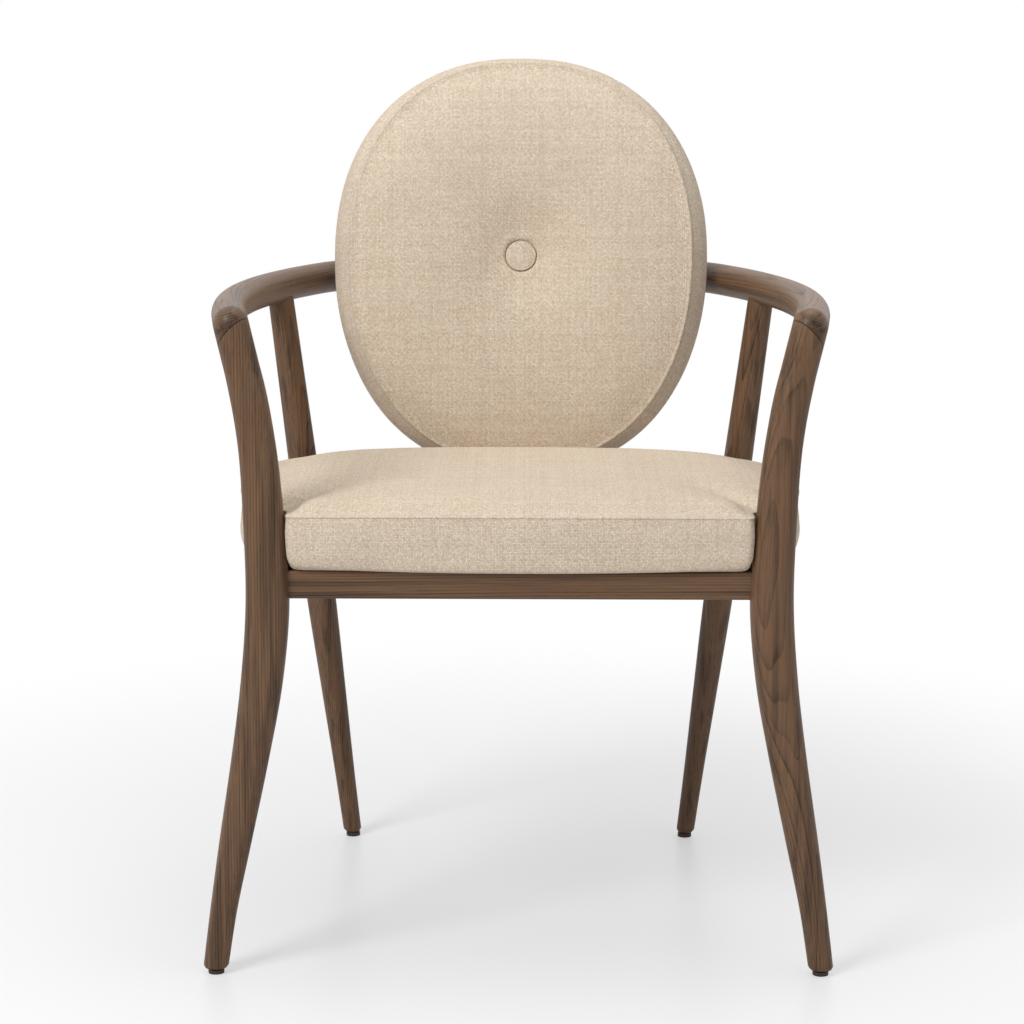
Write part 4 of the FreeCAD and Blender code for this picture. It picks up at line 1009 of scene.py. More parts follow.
@dataclass
class LegSet:
    """The four legs of the chair."""

    rail: HorseshoeRail
    front_foot: tuple[float, float] = (304.0, 3.0)
    front_size: tuple[float, float] = (42.7, 38.0)
    elbow_rings: int = 30
    corner_share: float = 0.44
    straight_top: float = 46.0
    front_shares: tuple[tuple[float, float, float, float], ...] = (
        (0.0092, 0.999, 0.585, 0.62),
        (0.092, 0.973, 0.625, 0.68),
        (0.214, 0.926, 0.760, 0.80),
        (0.337, 0.877, 0.872, 0.92),
        (0.459, 0.835, 0.972, 1.00),
        (0.582, 0.813, 1.000, 1.00),
        (0.704, 0.822, 0.934, 0.97),
        (0.827, 0.843, 0.855, 0.93),
        (0.905, 0.871, 0.828, 0.91),
    )
    rear_foot: tuple[float, float] = (194.5, 462.0)
    rear_turn_on_rail: float = 73.0
    rear_size: float = 31.6
    rear_twist: float = 30.0
    rear_shares: tuple[tuple[float, float], ...] = (
        (0.0092, 0.62),
        (0.100, 0.67),
        (0.280, 0.84),
        (0.460, 1.00),
        (0.620, 1.00),
        (0.800, 0.92),
        (0.990, 0.84),
    )

    def front_stations(self) -> list[tuple[float, float, float, float, float, float]]:
        """Stations of the right front leg, the last of them round."""
        high = self.rail.centre_z
        rows = []
        for height, across, width, depth in self.front_shares:
            wide, deep = width * self.front_size[0], depth * self.front_size[1]
            y = self.front_foot[1] + (self.rail.corner_y - self.front_foot[1]) * height
            rows.append(
                (
                    height * high,
                    across * self.front_foot[0],
                    y,
                    wide,
                    deep,
                    self.corner_share * min(wide, deep),
                )
            )
        for drop in (self.straight_top, self.straight_top / 2, 0.0):
            point = self.rail.corner + self.rail.down * drop
            rows.append(
                (
                    point[2],
                    point[0],
                    point[1],
                    2 * self.rail.radius,
                    2 * self.rail.radius,
                    self.rail.radius,
                )
            )
        return rows

    def rear_stations(self) -> list[tuple[float, float, float, float, float, float]]:
        """Stations of the right rear leg."""
        top = self.rail.at(self.rear_turn_on_rail)
        rows = []
        for height, size in self.rear_shares:
            x = self.rear_foot[0] + (top[0] - self.rear_foot[0]) * height
            y = self.rear_foot[1] + (top[1] - self.rear_foot[1]) * height
            side = size * self.rear_size
            rows.append((height * self.rail.centre_z, x, y, side, side, self.corner_share * side))
        return rows

    def build(self, finishes: Finishes) -> None:
        """Builds all four legs."""
        cut = (self.rail.joint, self.rail.joint_normal)
        for side, mirror in (("right", 1.0), ("left", -1.0)):
            name = "front_leg_" + side
            elbow = self.rail.arm_rings()[-2 : -2 - self.elbow_rings : -1]
            front = ChairLeg(name, self.front_stations(), lean=self.rail.leg_lean, above=elbow)
            front.build(mirror, finishes[name], cut)
            name = "rear_leg_" + side
            rear = ChairLeg(name, self.rear_stations(), turn=self.rear_twist)
            rear.build(mirror, finishes[name])


@dataclass
class SeatFrame:
    """Four seat rails with eased edges, let into the legs."""

    legs: LegSet
    top_z: float = 412.02
    height: float = 28.0
    thickness: float = 24.0
    front_y: float = 14.0
    rear_set_forward: float = 9.0
    ease: float = 2.6
    ease_steps: int = 4
    stations: int = 25
    front_let_in: float = 4.0
    rear_let_in: float = 2.0

    def leg_centre(self, stations: list[tuple[float, ...]]) -> Array:
        """Middle of a leg at the rails' middle height."""
        table = np.array(stations)
        z = self.top_z - self.height / 2
        x, y = (float(np.interp(z, table[:, 0], table[:, column])) for column in (1, 2))
        return np.array([x, y, z])

    def beam(self, name: str, start: Array, end: Array, dress: Material) -> None:
        """One rail between two points in the middles of its legs."""
        run = (end - start) / np.linalg.norm(end - start)
        side = np.array([-run[1], run[0], 0.0])
        one = np.ones(1)
        flat = rounded_ring(self.thickness * one, self.height * one, self.ease * one, self.ease_steps)[0]
        section = np.outer(flat[:, 0], side) + np.outer(flat[:, 1], [0.0, 0.0, 1.0])
        length = np.linalg.norm(end - start)
        rings = np.array(
            [start + run * place + section for place in np.linspace(0, length, self.stations)]
        )
        piece = ring_object(name + "_wood", rings)
        piece.data.materials.append(dress)
        own = mesh_points(piece) - placed(start)
        grain = np.stack([own @ side, own[:, 2], own @ run], axis=1)
        lay_grain(piece, grain, run)
        kept(sharpened(piece), "walnut_stain", name)

    def build(self, finishes: Finishes) -> None:
        """Builds the four rails."""
        front = self.leg_centre(self.legs.front_stations())
        rear = self.leg_centre(self.legs.rear_stations())
        flip = np.array([-1, 1, 1])
        reach = np.array([front[0] - self.front_let_in, self.front_y, front[2]])
        self.beam("front_seat_rail", reach * flip, reach, finishes["front_seat_rail"])
        reach = np.array([rear[0] - self.rear_let_in, rear[1] - self.rear_set_forward, rear[2]])
        self.beam("rear_seat_rail", reach * flip, reach, finishes["rear_seat_rail"])
        self.beam("side_seat_rail_right", front, rear, finishes["side_seat_rail_right"])
        self.beam("side_seat_rail_left", front * flip, rear * flip, finishes["side_seat_rail_left"])


# Cushions


class Panel(Enum):
    """How cloth lies on a strip of a cushion."""

    FLAT = "flat"
    BAND = "band"


@dataclass
class CushionSkin:
    """Rings of a cushion with the flat and the banded lie of the cloth on them."""

    rings: Array
    flat: Array
    band: Array
    strips: list[Panel]

    def build(self, name: str, dress: Material) -> Piece:
        """Closed mesh with its cloth map in metres."""
        count, around = self.rings.shape[:2]
        piece = ring_object(name, self.rings)
        layer = piece.data.uv_layers.new(name="cloth")
        flat = np.vstack(
            [self.flat.reshape(-1, 2), self.flat[0].mean(axis=0), self.flat[-1].mean(axis=0)]
        ) / 1000
        band = self.band / 1000
        for face in piece.data.polygons:
            corners = [piece.data.loops[k].vertex_index for k in face.loop_indices]
            rows = [corner // around for corner in corners]
            strip = min(rows)
            banded = max(corners) < count * around and self.strips[strip] is Panel.BAND
            wraps = banded and {0, around - 1} <= {corner % around for corner in corners}
            for loop, corner in zip(face.loop_indices, corners):
                if not banded:
                    layer.data[loop].uv = flat[corner]
                    continue
                column = corner % around
                layer.data[loop].uv = band[corner // around, around if wraps and column == 0 else column]
        piece.data.materials.append(dress)
        return piece


# The copy's mesh size and the farthest move in metres, the air pressure, the frames, the
# rounds that smooth the moves, and the nearest points that a move is read from
SWELL_VOXEL = 0.006
SWELL_CAP = 0.006
SWELL_PRESSURE = 4.0
SWELL_FRAMES = 20
SMOOTHING_ROUNDS = 30
NEAREST_POINTS = 8
NEAREST_REACH = 0.0015


def swelling(piece: Piece, held: Callable[[Array], Array]) -> Callable[[Array], Array]:
    """Blows a copy of a cushion up as cloth and gives how each place moved.

    Args:
        piece: Cushion before it swells.
        held: Which points (metres) are held still.

    Returns:
        Function from points to their moves, both in metres.
    """
    copy = piece.copy()
    copy.data = piece.data.copy()
    bpy.context.scene.collection.objects.link(copy)
    remesh = copy.modifiers.new("remesh", "REMESH")
    remesh.mode = "VOXEL"
    remesh.voxel_size = SWELL_VOXEL
    baked(copy)
    start = mesh_points(copy)
    group = copy.vertex_groups.new(name="held")
    group.add([int(k) for k in np.nonzero(held(start))[0]], 1.0, "REPLACE")
    cloth = copy.modifiers.new("cloth", "CLOTH")
    cloth.settings.quality = 5
    cloth.settings.mass = 0.3
    cloth.settings.tension_stiffness = 18
    cloth.settings.compression_stiffness = 18
    cloth.settings.bending_stiffness = 1.2
    cloth.settings.use_pressure = True
    cloth.settings.uniform_pressure_force = SWELL_PRESSURE
    cloth.settings.vertex_group_mass = "held"
    cloth.settings.effector_weights.gravity = 0.0
    cloth.collision_settings.use_collision = False
    cloth.point_cache.frame_start = 1
    cloth.point_cache.frame_end = SWELL_FRAMES
    scene = bpy.context.scene
    for step in range(1, SWELL_FRAMES + 1):
        scene.frame_set(step)
    view = bpy.context.evaluated_depsgraph_get()
    swollen = copy.evaluated_get(view).to_mesh()
    end = np.empty(len(start) * 3)
    swollen.vertices.foreach_get("co", end)
    moves = end.reshape(-1, 3) - start
    length = np.linalg.norm(moves, axis=1, keepdims=True)
    moves *= np.minimum(1.0, SWELL_CAP / np.maximum(length, 1e-9))
    pairs = np.array([edge.vertices[:] for edge in copy.data.edges])
    count = np.bincount(pairs.ravel(), minlength=len(start))[:, None]
    for _ in range(SMOOTHING_ROUNDS):
        total = np.zeros_like(moves)
        np.add.at(total, pairs[:, 0], moves[pairs[:, 1]])
        np.add.at(total, pairs[:, 1], moves[pairs[:, 0]])
        moves = 0.4 * moves + 0.6 * total / np.maximum(count, 1)
    LOG.info("%s swelled by up to %.1f mm", piece.name, 1000 * float(np.linalg.norm(moves, axis=1).max()))
    bpy.data.objects.remove(copy)
    scene.frame_set(1)
    tree = KDTree(len(start))
    for k, point in enumerate(start):
        tree.insert(point, k)
    tree.balance()

    def move(points: Array) -> Array:
        """Moves of the nearest points of the copy, nearer ones counting more."""
        result = np.zeros_like(points)
        for k, point in enumerate(points):
            found = tree.find_n(point, NEAREST_POINTS)
            weights = np.array([1 / (hit[2] + NEAREST_REACH) ** 2 for hit in found])
            result[k] = (moves[[hit[1] for hit in found]] * weights[:, None]).sum(axis=0) / weights.sum()
        return result

    return move


def mound(x: Array, y: Array, top: tuple[float, float], spread: tuple[float, float]) -> Array:
    """Round hump of height 1 with its top at a place."""
    return np.exp(-(((x - top[0]) / spread[0]) ** 2 + ((y - top[1]) / spread[1]) ** 2))


def move_points(piece: Piece, moves: Array) -> None:
    """Moves the corners of a piece."""
    piece.data.vertices.foreach_set("co", (mesh_points(piece) + moves).ravel())
    piece.data.update()


@dataclass
class SeatCushion:
    """Seat pad, straight between the front legs and notched round them."""

    legs: LegSet
    base_z: float = 412.02
    front_y: float = -8.0
    rear_y: float = 398.0
    widest: float = 291.0
    widest_y: float = 186.0
    leg_gap: float = 0.6
    setback: float = 3.0
    exponent: float = 3.3
    corners: tuple[float, float, float] = (8.0, 8.0, 9.0)
    growth: float = 0.05
    border: float = 54.0
    crown: float = 16.0
    draw_in: float = 9.0
    crown_inset: float = 150.0
    hem: float = 34.0
    border_shares: tuple[tuple[float, float], ...] = (
        (0.42, 0.05), (0.14, 0.17), (0.0, 0.48), (0.06, 0.80), (0.22, 0.985)
    )
    crown_shares: tuple[tuple[float, float], ...] = (
        (0.028, 0.13), (0.065, 0.24), (0.18, 0.50), (0.40, 0.80), (0.70, 0.96), (1.0, 1.0)
    )
    under: tuple[tuple[float, float], ...] = (
        (60.0, 1.9),
        (36.0, 1.9),
        (34.6, 1.6),
        (34.0, 0.2),
        (27.0, 0.15),
        (18.0, 0.15),
        (11.0, 0.25),
    )
    below_seam: tuple[tuple[float, float], ...] = ((0.1, -0.35), (0.15, -0.1))
    above_seam: tuple[tuple[float, float], ...] = ((-0.5, 0.1), (-0.75, 0.8), (-0.1, 1.5), (1.7, 2.2))
    middle: tuple[float, float] = (0.0, 195.0)
    cover_rows: tuple[tuple[float, float], ...] = (
        (1.0, 0.9),
        (1.0, 0.0),
        (0.985, -0.1),
        (0.9, -0.6),
        (0.7, -1.4),
        (0.45, -1.9),
        (0.2, -2.1),
    )
    cover_gap: float = 0.55
    cover_inset: float = 0.4
    staple_inset: float = 4.0
    staple_sink: float = 0.1
    swell_share: float = 0.8
    highest_swell: float = 0.004
    seam_calm: tuple[float, float] = (0.75, 7.0)
    crease_start: tuple[float, float] = (232.0, 42.0)
    crease_way: tuple[float, float] = (0.62, 0.78)
    sag: float = 2.0
    lift: float = 2.6
    valley: float = 8.0

    def outline(self, inset: float, height: float) -> Array:
        """Level outline at an inset from the widest, from the front middle round by the right."""
        table = np.array(self.legs.front_stations())
        z = min(height, self.base_z + self.border)
        x, y, wide = (float(np.interp(z, table[:, 0], table[:, column])) for column in (1, 2, 3))
        grown = self.growth * inset
        front = self.front_y + inset
        inner = x - wide / 2 - self.leg_gap - inset
        notch = y + self.legs.front_size[1] / 2 + self.leg_gap + inset
        outer = x + wide / 2 - self.setback - inset
        widest, rear = self.widest - inset, self.rear_y - inset
        front_r, inner_r, outer_r = (radius + grown for radius in self.corners)
        notch = min(notch, self.widest_y - outer_r - 2)

        def line(a: tuple[float, float], b: tuple[float, float], count: int) -> Array:
            """Points from a to before b."""
            t = np.arange(count)[:, None] / count
            return np.array(a) * (1 - t) + np.array(b) * t

        def arc(cx: float, cy: float, radius: float, start: float, end: float, count: int) -> Array:
            """Points round a corner."""
            turns = np.radians(start + (end - start) * np.arange(count) / count)
            return np.stack([cx + radius * np.cos(turns), cy + radius * np.sin(turns)], axis=1)

        t = np.arange(22) / 22
        side_y = notch + outer_r
        bulge = outer + (widest - outer) * np.sin(t * math.pi / 2)
        side = np.stack([bulge, side_y + (self.widest_y - side_y) * t], axis=1)
        t = np.arange(70) / 70
        turns = math.pi / 2 * t**1.65 / (t**1.65 + (1 - t) ** 1.65)
        power = 2 / self.exponent
        round_part = np.stack(
            [
                widest * np.cos(turns) ** power,
                self.widest_y + (rear - self.widest_y) * np.sin(turns) ** power,
            ],
            axis=1,
        )
        right = np.vstack(
            [
                line((0, front), (inner - front_r, front), 36),
                arc(inner - front_r, front + front_r, front_r, -90, 0, 9),
                line((inner, front + front_r), (inner, notch - inner_r), 9),
                arc(inner + inner_r, notch - inner_r, inner_r, 180, 90, 9),
                line((inner + inner_r, notch), (outer - outer_r, notch), 10),
                arc(outer - outer_r, notch + outer_r, outer_r, -90, 0, 9),
                side,
                round_part,
            ]
        )
        left = np.vstack([[[0.0, rear]], right[:0:-1] * [-1, 1]])
        return np.vstack([right, left])

    def profile(self) -> tuple[list[tuple[float, float]], list[Panel]]:
        """Inset and height of each ring, from under the seat to the crown."""
        seam_z = self.base_z + self.border
        seam_inset = self.border_shares[-1][0] * self.draw_in
        bottom = [(inset, self.base_z + rise) for inset, rise in self.under]
        edge = [
            (inset * self.draw_in, self.base_z + height * self.border)
            for inset, height in self.border_shares
        ]
        border = [tuple(row) for row in smooth_profile([(8.4, self.base_z + 0.5), *edge], 28)]
        border += [(seam_inset + inset, seam_z + rise) for inset, rise in self.below_seam]
        nose = [(seam_inset + inset, seam_z + rise) for inset, rise in self.above_seam]
        crown = [
            (seam_inset + (self.crown_inset - seam_inset) * inset, seam_z + height * self.crown)
            for inset, height in self.crown_shares
        ]
        top = [tuple(row) for row in smooth_profile(crown, 40) if row[0] < 140]
        rows = bottom + border + nose + top
        strips = [Panel.FLAT] * (len(bottom) - 1) + [Panel.BAND] * (len(border) + 1)
        strips += [Panel.FLAT] * (len(nose) + len(top) - 1)
        return rows, strips

    def skin(self) -> CushionSkin:
        """Rings of the pad with the cloth's lie."""
        rows, strips = self.profile()
        outlines = [self.outline(inset, height) for inset, height in rows]
        middle = np.array(self.middle)
        heights = [height for _, height in rows]
        for share in (0.75, 0.5, 0.25):
            outlines.insert(0, middle + (self.outline(*rows[0]) - middle) * share)
            outlines.append(middle + (self.outline(*rows[-1]) - middle) * share)
            heights = [heights[0], *heights, heights[-1]]
        strips = [Panel.FLAT] * 3 + strips + [Panel.FLAT] * 3
        widest = self.outline(0.0, self.base_z + self.border / 2)
        steps = np.linalg.norm(np.diff(np.vstack([widest, widest[:1]]), axis=0), axis=1)
        around = np.concatenate([[0.0], np.cumsum(steps)])
        run = [0.0, *np.cumsum([math.hypot(b[0] - a[0], b[1] - a[1]) for a, b in zip(rows, rows[1:])])]
        run = [0.0] * 3 + run + [run[-1]] * 3
        rings = np.array(
            [np.column_stack([line, np.full(len(line), z)]) for line, z in zip(outlines, heights)]
        )
        band = np.array([np.column_stack([around, np.full(len(around), along)]) for along in run])
        return CushionSkin(rings, np.array(outlines), band, strips)

    def sculpt(self, points: Array) -> Array:
        """Moves in metres that pull the pad's form: creases from the notches and a soft hem."""
        own = points * 1000 + MIDDLE
        x, y, z = own[:, 0], own[:, 1], own[:, 2]
        seam_z = self.base_z + self.border
        top = smoothstep(seam_z + 1.5, seam_z + 7, z)
        move = np.zeros_like(own)
        for side in (-1.0, 1.0):
            start = np.array([side * self.crease_start[0], self.crease_start[1]])
            way = np.array([-side * self.crease_way[0], self.crease_way[1]])
            here = np.sign(x) == side
            along = (x - start[0]) * way[0] + (y - start[1]) * way[1]
            off = (x - start[0]) * -way[1] + (y - start[1]) * way[0]
            width = 8 + 0.12 * np.clip(along, 0, 200)
            fade = smoothstep(-16, 4, along) * (1 - smoothstep(8, 130, along))
            move[:, 2] -= self.valley * top * fade * np.exp(-((off / width) ** 2))
            move[:, 2] += 2.2 * top * (mound(np.abs(x), y, (258, 92), (34, 60)) * here)
            corner = np.exp(-(((np.abs(x) - 238) / 15) ** 2)) * (1 - smoothstep(8, 40, y)) * here
            move[:, 0] -= side * 8.0 * corner * smoothstep(seam_z + 1, seam_z + 9, z)
            puff = mound(np.abs(x), y, (204, 24), (22, 24)) * here
            move[:, 2] += 5.0 * puff * top
        low = (1 - smoothstep(self.base_z + 1, self.base_z + 16, z)) * (1 - smoothstep(0.5, 4.0, y))
        droop = np.clip(1 - (np.abs(x) / 215) ** 2.2, 0, 1)
        move[:, 2] += low * (self.lift * (1 - droop) - self.sag * droop)
        move[:, 1] -= 1.3 * low * droop
        ripple = np.sin(x * 0.031 + 0.6) * 0.7 + np.sin(x * 0.071 + 2.0) * 0.35
        front = (1 - smoothstep(-2, 6, y)) * smoothstep(self.base_z + 4, self.base_z + 20, z)
        move[:, 1] -= ripple * (front * (1 - smoothstep(seam_z - 4, seam_z, z)))
        return move / 1000

    def held(self, points: Array) -> Array:
        """Points under the pad, at its hem and by the front legs, which stay still."""
        own = points * 1000 + MIDDLE
        by_leg = (np.abs(own[:, 0]) > 222) & (own[:, 1] < 34)
        return (own[:, 2] < self.base_z + 7) | by_leg

    def build(
        self, cloth: Material, lining: Material, steel: Material
    ) -> None:
        """Builds the pad, its dust cover and the staples along the hem."""
        piece = self.skin().build("seat_pad", cloth)
        points = mesh_points(piece)
        swell = swelling(piece, self.held)(points)
        own = points * 1000 + MIDDLE
        seam_z = self.base_z + self.border
        share, spread = self.seam_calm
        calm = 1 - share * np.exp(-(((own[:, 2] - seam_z) / spread) ** 2))
        swell *= calm[:, None]
        swell[:, 2] = np.minimum(swell[:, 2], self.highest_swell)
        move_points(piece, swell * self.swell_share + self.sculpt(points))
        kept(piece, "upholstery", "seat_foam", "seat_cover_border", "seat_cover_top")
        self.build_underside(lining, steel)

    def build_underside(self, lining: Material, steel: Material) -> None:
        """Builds the dust cover, which hangs a little in its middle, and the staples."""
        rings = []
        for share, drop in self.cover_rows:
            outline = self.outline(self.hem + self.cover_inset, self.base_z)
            middle = np.array(self.middle)
            outline = middle + (outline - middle) * share
            rings.append(
                np.column_stack([outline, np.full(len(outline), self.base_z + self.cover_gap + drop)])
            )
        piece = ring_object("dust_cover", np.array(rings[::-1]))
        piece.data.materials.append(lining)
        kept(sharpened(piece, 60), "lining", "seat_dust_cover")
        outline = self.outline(self.hem - self.staple_inset, self.base_z)
        path = placed(np.column_stack([outline, np.full(len(outline), self.base_z - self.staple_sink)]))
        kept(repeated("hem_staples", path, True, Fastener.STAPLE, steel), "steel")


@dataclass
class BackCushion:
    """Oval back pad, bent round the sitter, leaned back, with one button."""

    half_arc: float = 202.0
    upper: float = 228.96
    lower: float = 244.98
    exponent: float = 2.2
    bend: float = 650.0
    thick: float = 60.0
    front_y: float = 446.0
    recline: float = 11.5
    crown: float = 18.0
    rear_crown: float = 9.0
    total_height: float = 900.0
    widest_depth: float = 0.45
    rear_shares: tuple[tuple[float, float], ...] = (
        (0.0, 1.0), (0.35, 0.88), (0.64, 0.55), (0.80, 0.20), (0.885, -0.03)
    )
    band_shares: tuple[tuple[float, float], ...] = (
        (0.905, 1.0), (0.955, 0.90), (0.992, 0.70), (1.0, 0.45), (0.988, 0.20), (0.966, 0.035)
    )
    front_shares: tuple[tuple[float, float], ...] = (
        (0.952, 0.06), (0.90, 0.30), (0.72, 0.76), (0.46, 1.0), (0.30, 0.93)
    )
    dimple_shares: tuple[tuple[float, float], ...] = (
        (0.19, 0.42), (0.135, 0.66), (0.105, 0.72), (0.094, 0.78)
    )
    button_radius: float = 17.0
    button_sink: float = 14.0
    button_edge: float = 2.6
    button_dome: float = 1.7
    button_around: int = 72
    dome_shares: tuple[float, ...] = (0.93, 0.84, 0.72, 0.58, 0.42, 0.26, 0.12)
    seam_swell: float = 0.35
    face_swell: float = 0.8
    seam_band: float = 3.0
    stitch_lift: float = 0.00012
    around: int = 300

    def __post_init__(self) -> None:
        """Works out the depth of the button's seat and the middle's height."""
        self.button_depth = self.button_sink - self.crown
        lean = math.radians(self.recline)
        reach = self.total_height - self.upper * math.cos(lean)
        self.centre_z = reach + self.widest_depth * self.thick * math.sin(lean)

    def inward(self) -> Array:
        """Direction from the sitter into the leaned pad."""
        lean = math.radians(self.recline)
        return np.array([0.0, math.cos(lean), -math.sin(lean)])

    def leaned(self, upright: Array) -> Array:
        """Points of the upright back moved to their place in the chair."""
        lean = math.radians(-self.recline)
        x, y, z = upright[..., 0], upright[..., 1], upright[..., 2]
        moved = [
            x,
            y * math.cos(lean) - z * math.sin(lean) + self.front_y,
            y * math.sin(lean) + z * math.cos(lean) + self.centre_z,
        ]
        return np.stack(moved, axis=-1)

    def oval(self, size: float, depth: float) -> tuple[Array, Array]:
        """Upright ring and its flat lie at a size share and a depth."""
        turns = np.arange(self.around) * 2 * math.pi / self.around
        power = 2 / self.exponent
        across, up = np.cos(turns), np.sin(turns)
        arc = size * self.half_arc * np.sign(across) * np.abs(across) ** power
        reach = np.where(up > 0, self.upper, self.lower)
        height = size * reach * np.sign(up) * np.abs(up) ** power
        bend = arc / self.bend
        radius = self.bend + depth
        ring = np.stack([radius * np.sin(bend), radius * np.cos(bend) - self.bend, height], axis=1)
        return ring, np.stack([arc, height], axis=1)

    def profile(self) -> tuple[list[tuple[float, float]], list[Panel]]:
        """Size share and depth of each ring, from the rear middle to the button."""
        rear = [(size, self.thick + crown * self.rear_crown) for size, crown in self.rear_shares]
        scale = self.half_arc

        def smooth(points: list[tuple[float, float]], count: int) -> list[tuple[float, float]]:
            """Evenly spaced rings through given ones."""
            rows = smooth_profile([(size * scale, depth) for size, depth in points], count)
            return [(row[0] / scale, row[1]) for row in rows]

        rear_rows = [(0.03, self.thick + self.rear_crown)] + smooth(rear, 26)[1:]
        rear_rows += [(0.893, self.thick - 0.6), (0.895, self.thick - 1.6)]
        band = [(0.902, self.thick - 1.5)] + smooth(
            [(size, depth * self.thick) for size, depth in self.band_shares], 28
        )
        band[-1] = (band[-1][0] - 0.0015, band[-1][1])
        nose = [(0.9585, 1.5), (0.9605, 0.9), (0.964, 0.2), (0.9625, -0.7), (0.957, -1.4)]
        front = [(size, -crown * self.crown) for size, crown in self.front_shares]
        dimple = [
            (size, -self.crown + (self.button_depth + self.crown) * sink)
            for size, sink in self.dimple_shares
        ]
        rest = (self.button_radius + 0.6) / self.half_arc
        face = smooth(front + dimple + [(rest, self.button_depth + 0.6)], 64)
        rows = rear_rows + band + nose + face + [(rest * 0.6, self.button_depth + 1.2)]
        strips = [Panel.FLAT] * (len(rear_rows) - 1) + [Panel.BAND] * (len(band) + 2)
        strips += [Panel.FLAT] * (len(nose) - 1 + len(face))
        self.seam_row = len(rear_rows) + len(band) + 2
        return rows, strips

    def skin(self) -> CushionSkin:
        """Rings of the pad with the cloth's lie."""
        rows, strips = self.profile()
        rings, flat, band = [], [], []
        along = 0.0
        _, widest = self.oval(1.0, 0.0)
        steps = np.linalg.norm(np.diff(np.vstack([widest, widest[:1]]), axis=0), axis=1)
        around = np.concatenate([[0.0], np.cumsum(steps)])
        turns = np.arange(self.around) * 2 * math.pi / self.around
        for k, (size, depth) in enumerate(rows):
            ring, lie = self.oval(size, depth)
            if size < 0.22 and depth < 0:
                share = float(1 - smoothstep(0.09, 0.22, size))
                radius = size * self.half_arc
                circle = np.stack(
                    [radius * np.cos(turns), ring[:, 1] * 0 + depth, radius * np.sin(turns)], axis=1
                )
                ring = ring * (1 - share) + circle * share
                lie = ring[:, [0, 2]]
            if k:
                along += math.hypot((size - rows[k - 1][0]) * self.half_arc, depth - rows[k - 1][1])
            rings.append(self.leaned(ring))
            flat.append(lie * ([-1, 1] if depth > self.thick - 2 else [1, 1]))
            band.append(np.column_stack([around, np.full(len(around), along)]))
        return CushionSkin(np.array(rings), np.array(flat), np.array(band), strips)

    def upright(self, points: Array) -> Array:
        """Points of the row frame moved back to the upright back, bent straight."""
        own = points * 1000 + MIDDLE - [0, self.front_y, self.centre_z]
        lean = math.radians(self.recline)
        y = own[:, 1] * math.cos(lean) - own[:, 2] * math.sin(lean)
        z = own[:, 1] * math.sin(lean) + own[:, 2] * math.cos(lean)
        radius = np.hypot(own[:, 0], y + self.bend)
        return np.stack([np.arctan2(own[:, 0], y + self.bend) * self.bend, radius - self.bend, z], axis=1)

    def sculpt(self, points: Array) -> Array:
        """Moves in metres: pulls that fan from the button and a shallow hollow above it."""
        flat = self.upright(points)
        x, depth, z = flat[:, 0], flat[:, 1], flat[:, 2]
        reach = np.hypot(x, z)
        turn = np.arctan2(z, x)
        front = 1 - smoothstep(-6, 4, depth)
        fan = np.cos(turn * 7 + 0.8) * 0.6 + np.cos(turn * 4 - 0.5) * 0.6 + np.cos(turn * 11 + 2.0) * 0.35
        ring = smoothstep(15, 24, reach) * (1 - smoothstep(30, 96, reach))
        out = 0.5 * fan * ring * front
        out += mound(z, x, (34, 8), (20, 46)) * front
        return out[:, None] * self.inward() / 1000

    def held(self, points: Array) -> Array:
        """Points at the button and towards the rear panel, which stay still."""
        flat = self.upright(points)
        reach = np.hypot(flat[:, 0], flat[:, 2])
        return ((reach < 20) & (flat[:, 1] < 5)) | (flat[:, 1] > self.thick - 6)

    def button_rings(self) -> Array:
        """Rings of the domed button from its rear rim to its crest."""
        seat = self.button_depth - 0.3
        rim = seat - self.button_edge
        turns = np.arange(self.button_around) * 2 * math.pi / self.button_around
        rows = [(0.80, seat), (0.95, seat), (0.995, seat - 0.4), (1.0, seat - 1.1), (0.985, rim - 0.3)]
        for share in self.dome_shares:
            rows.append((share, rim - self.button_dome * (1 - share**2.2)))
        rings = [
            np.stack(
                [
                    self.button_radius * s * np.cos(turns),
                    np.full(len(turns), d),
                    self.button_radius * s * np.sin(turns),
                ],
                axis=1,
            )
            for s, d in rows
        ]
        return np.array(rings)

    def build(self, cloth: Material, thread: Material) -> None:
        """Builds the pad, its button and the stitches beside the front seam."""
        skin = self.skin()
        piece = skin.build("back_pad", cloth)
        points = mesh_points(piece)
        swell = swelling(piece, self.held)(points)
        flat = self.upright(points)
        seam = np.abs(flat[:, 1]) < self.seam_band
        swell *= np.where(seam, self.seam_swell, self.face_swell)[:, None]
        move_points(piece, swell + self.sculpt(points))
        moved = mesh_points(piece)
        row = self.seam_row + 4
        path = moved[row * self.around : (row + 1) * self.around]
        path = path - self.stitch_lift * self.inward()
        nodes = ("back_foam", "back_wadding", "back_cover_front", "back_cover_rear", "back_cover_border")
        kept(piece, "upholstery", *nodes)
        kept(repeated("back_stitches", path, True, Fastener.STITCH, thread), "upholstery")
        rings = self.button_rings()
        flat_lie = rings[..., [0, 2]]
        band = np.zeros((len(rings), rings.shape[1] + 1, 2))
        button = CushionSkin(
            self.leaned(rings), flat_lie, band, [Panel.FLAT] * (len(rings) - 1)
        ).build("tufting_button", cloth)
        kept(button, "upholstery", "back_button")


# Studio


@dataclass(frozen=True)
class Lamp:
    """Square soft lamp: place and size in metres, power in watts."""

    name: str
    place: tuple[float, float, float]
    size: float
    power: float


LAMPS = (
    Lamp("key", (-1.9, -2.2, 2.6), 1.2, 72),
    Lamp("fill", (2.3, -1.9, 1.5), 1.8, 6),
    Lamp("top", (0.2, 0.1, 3.0), 2.0, 31),
)


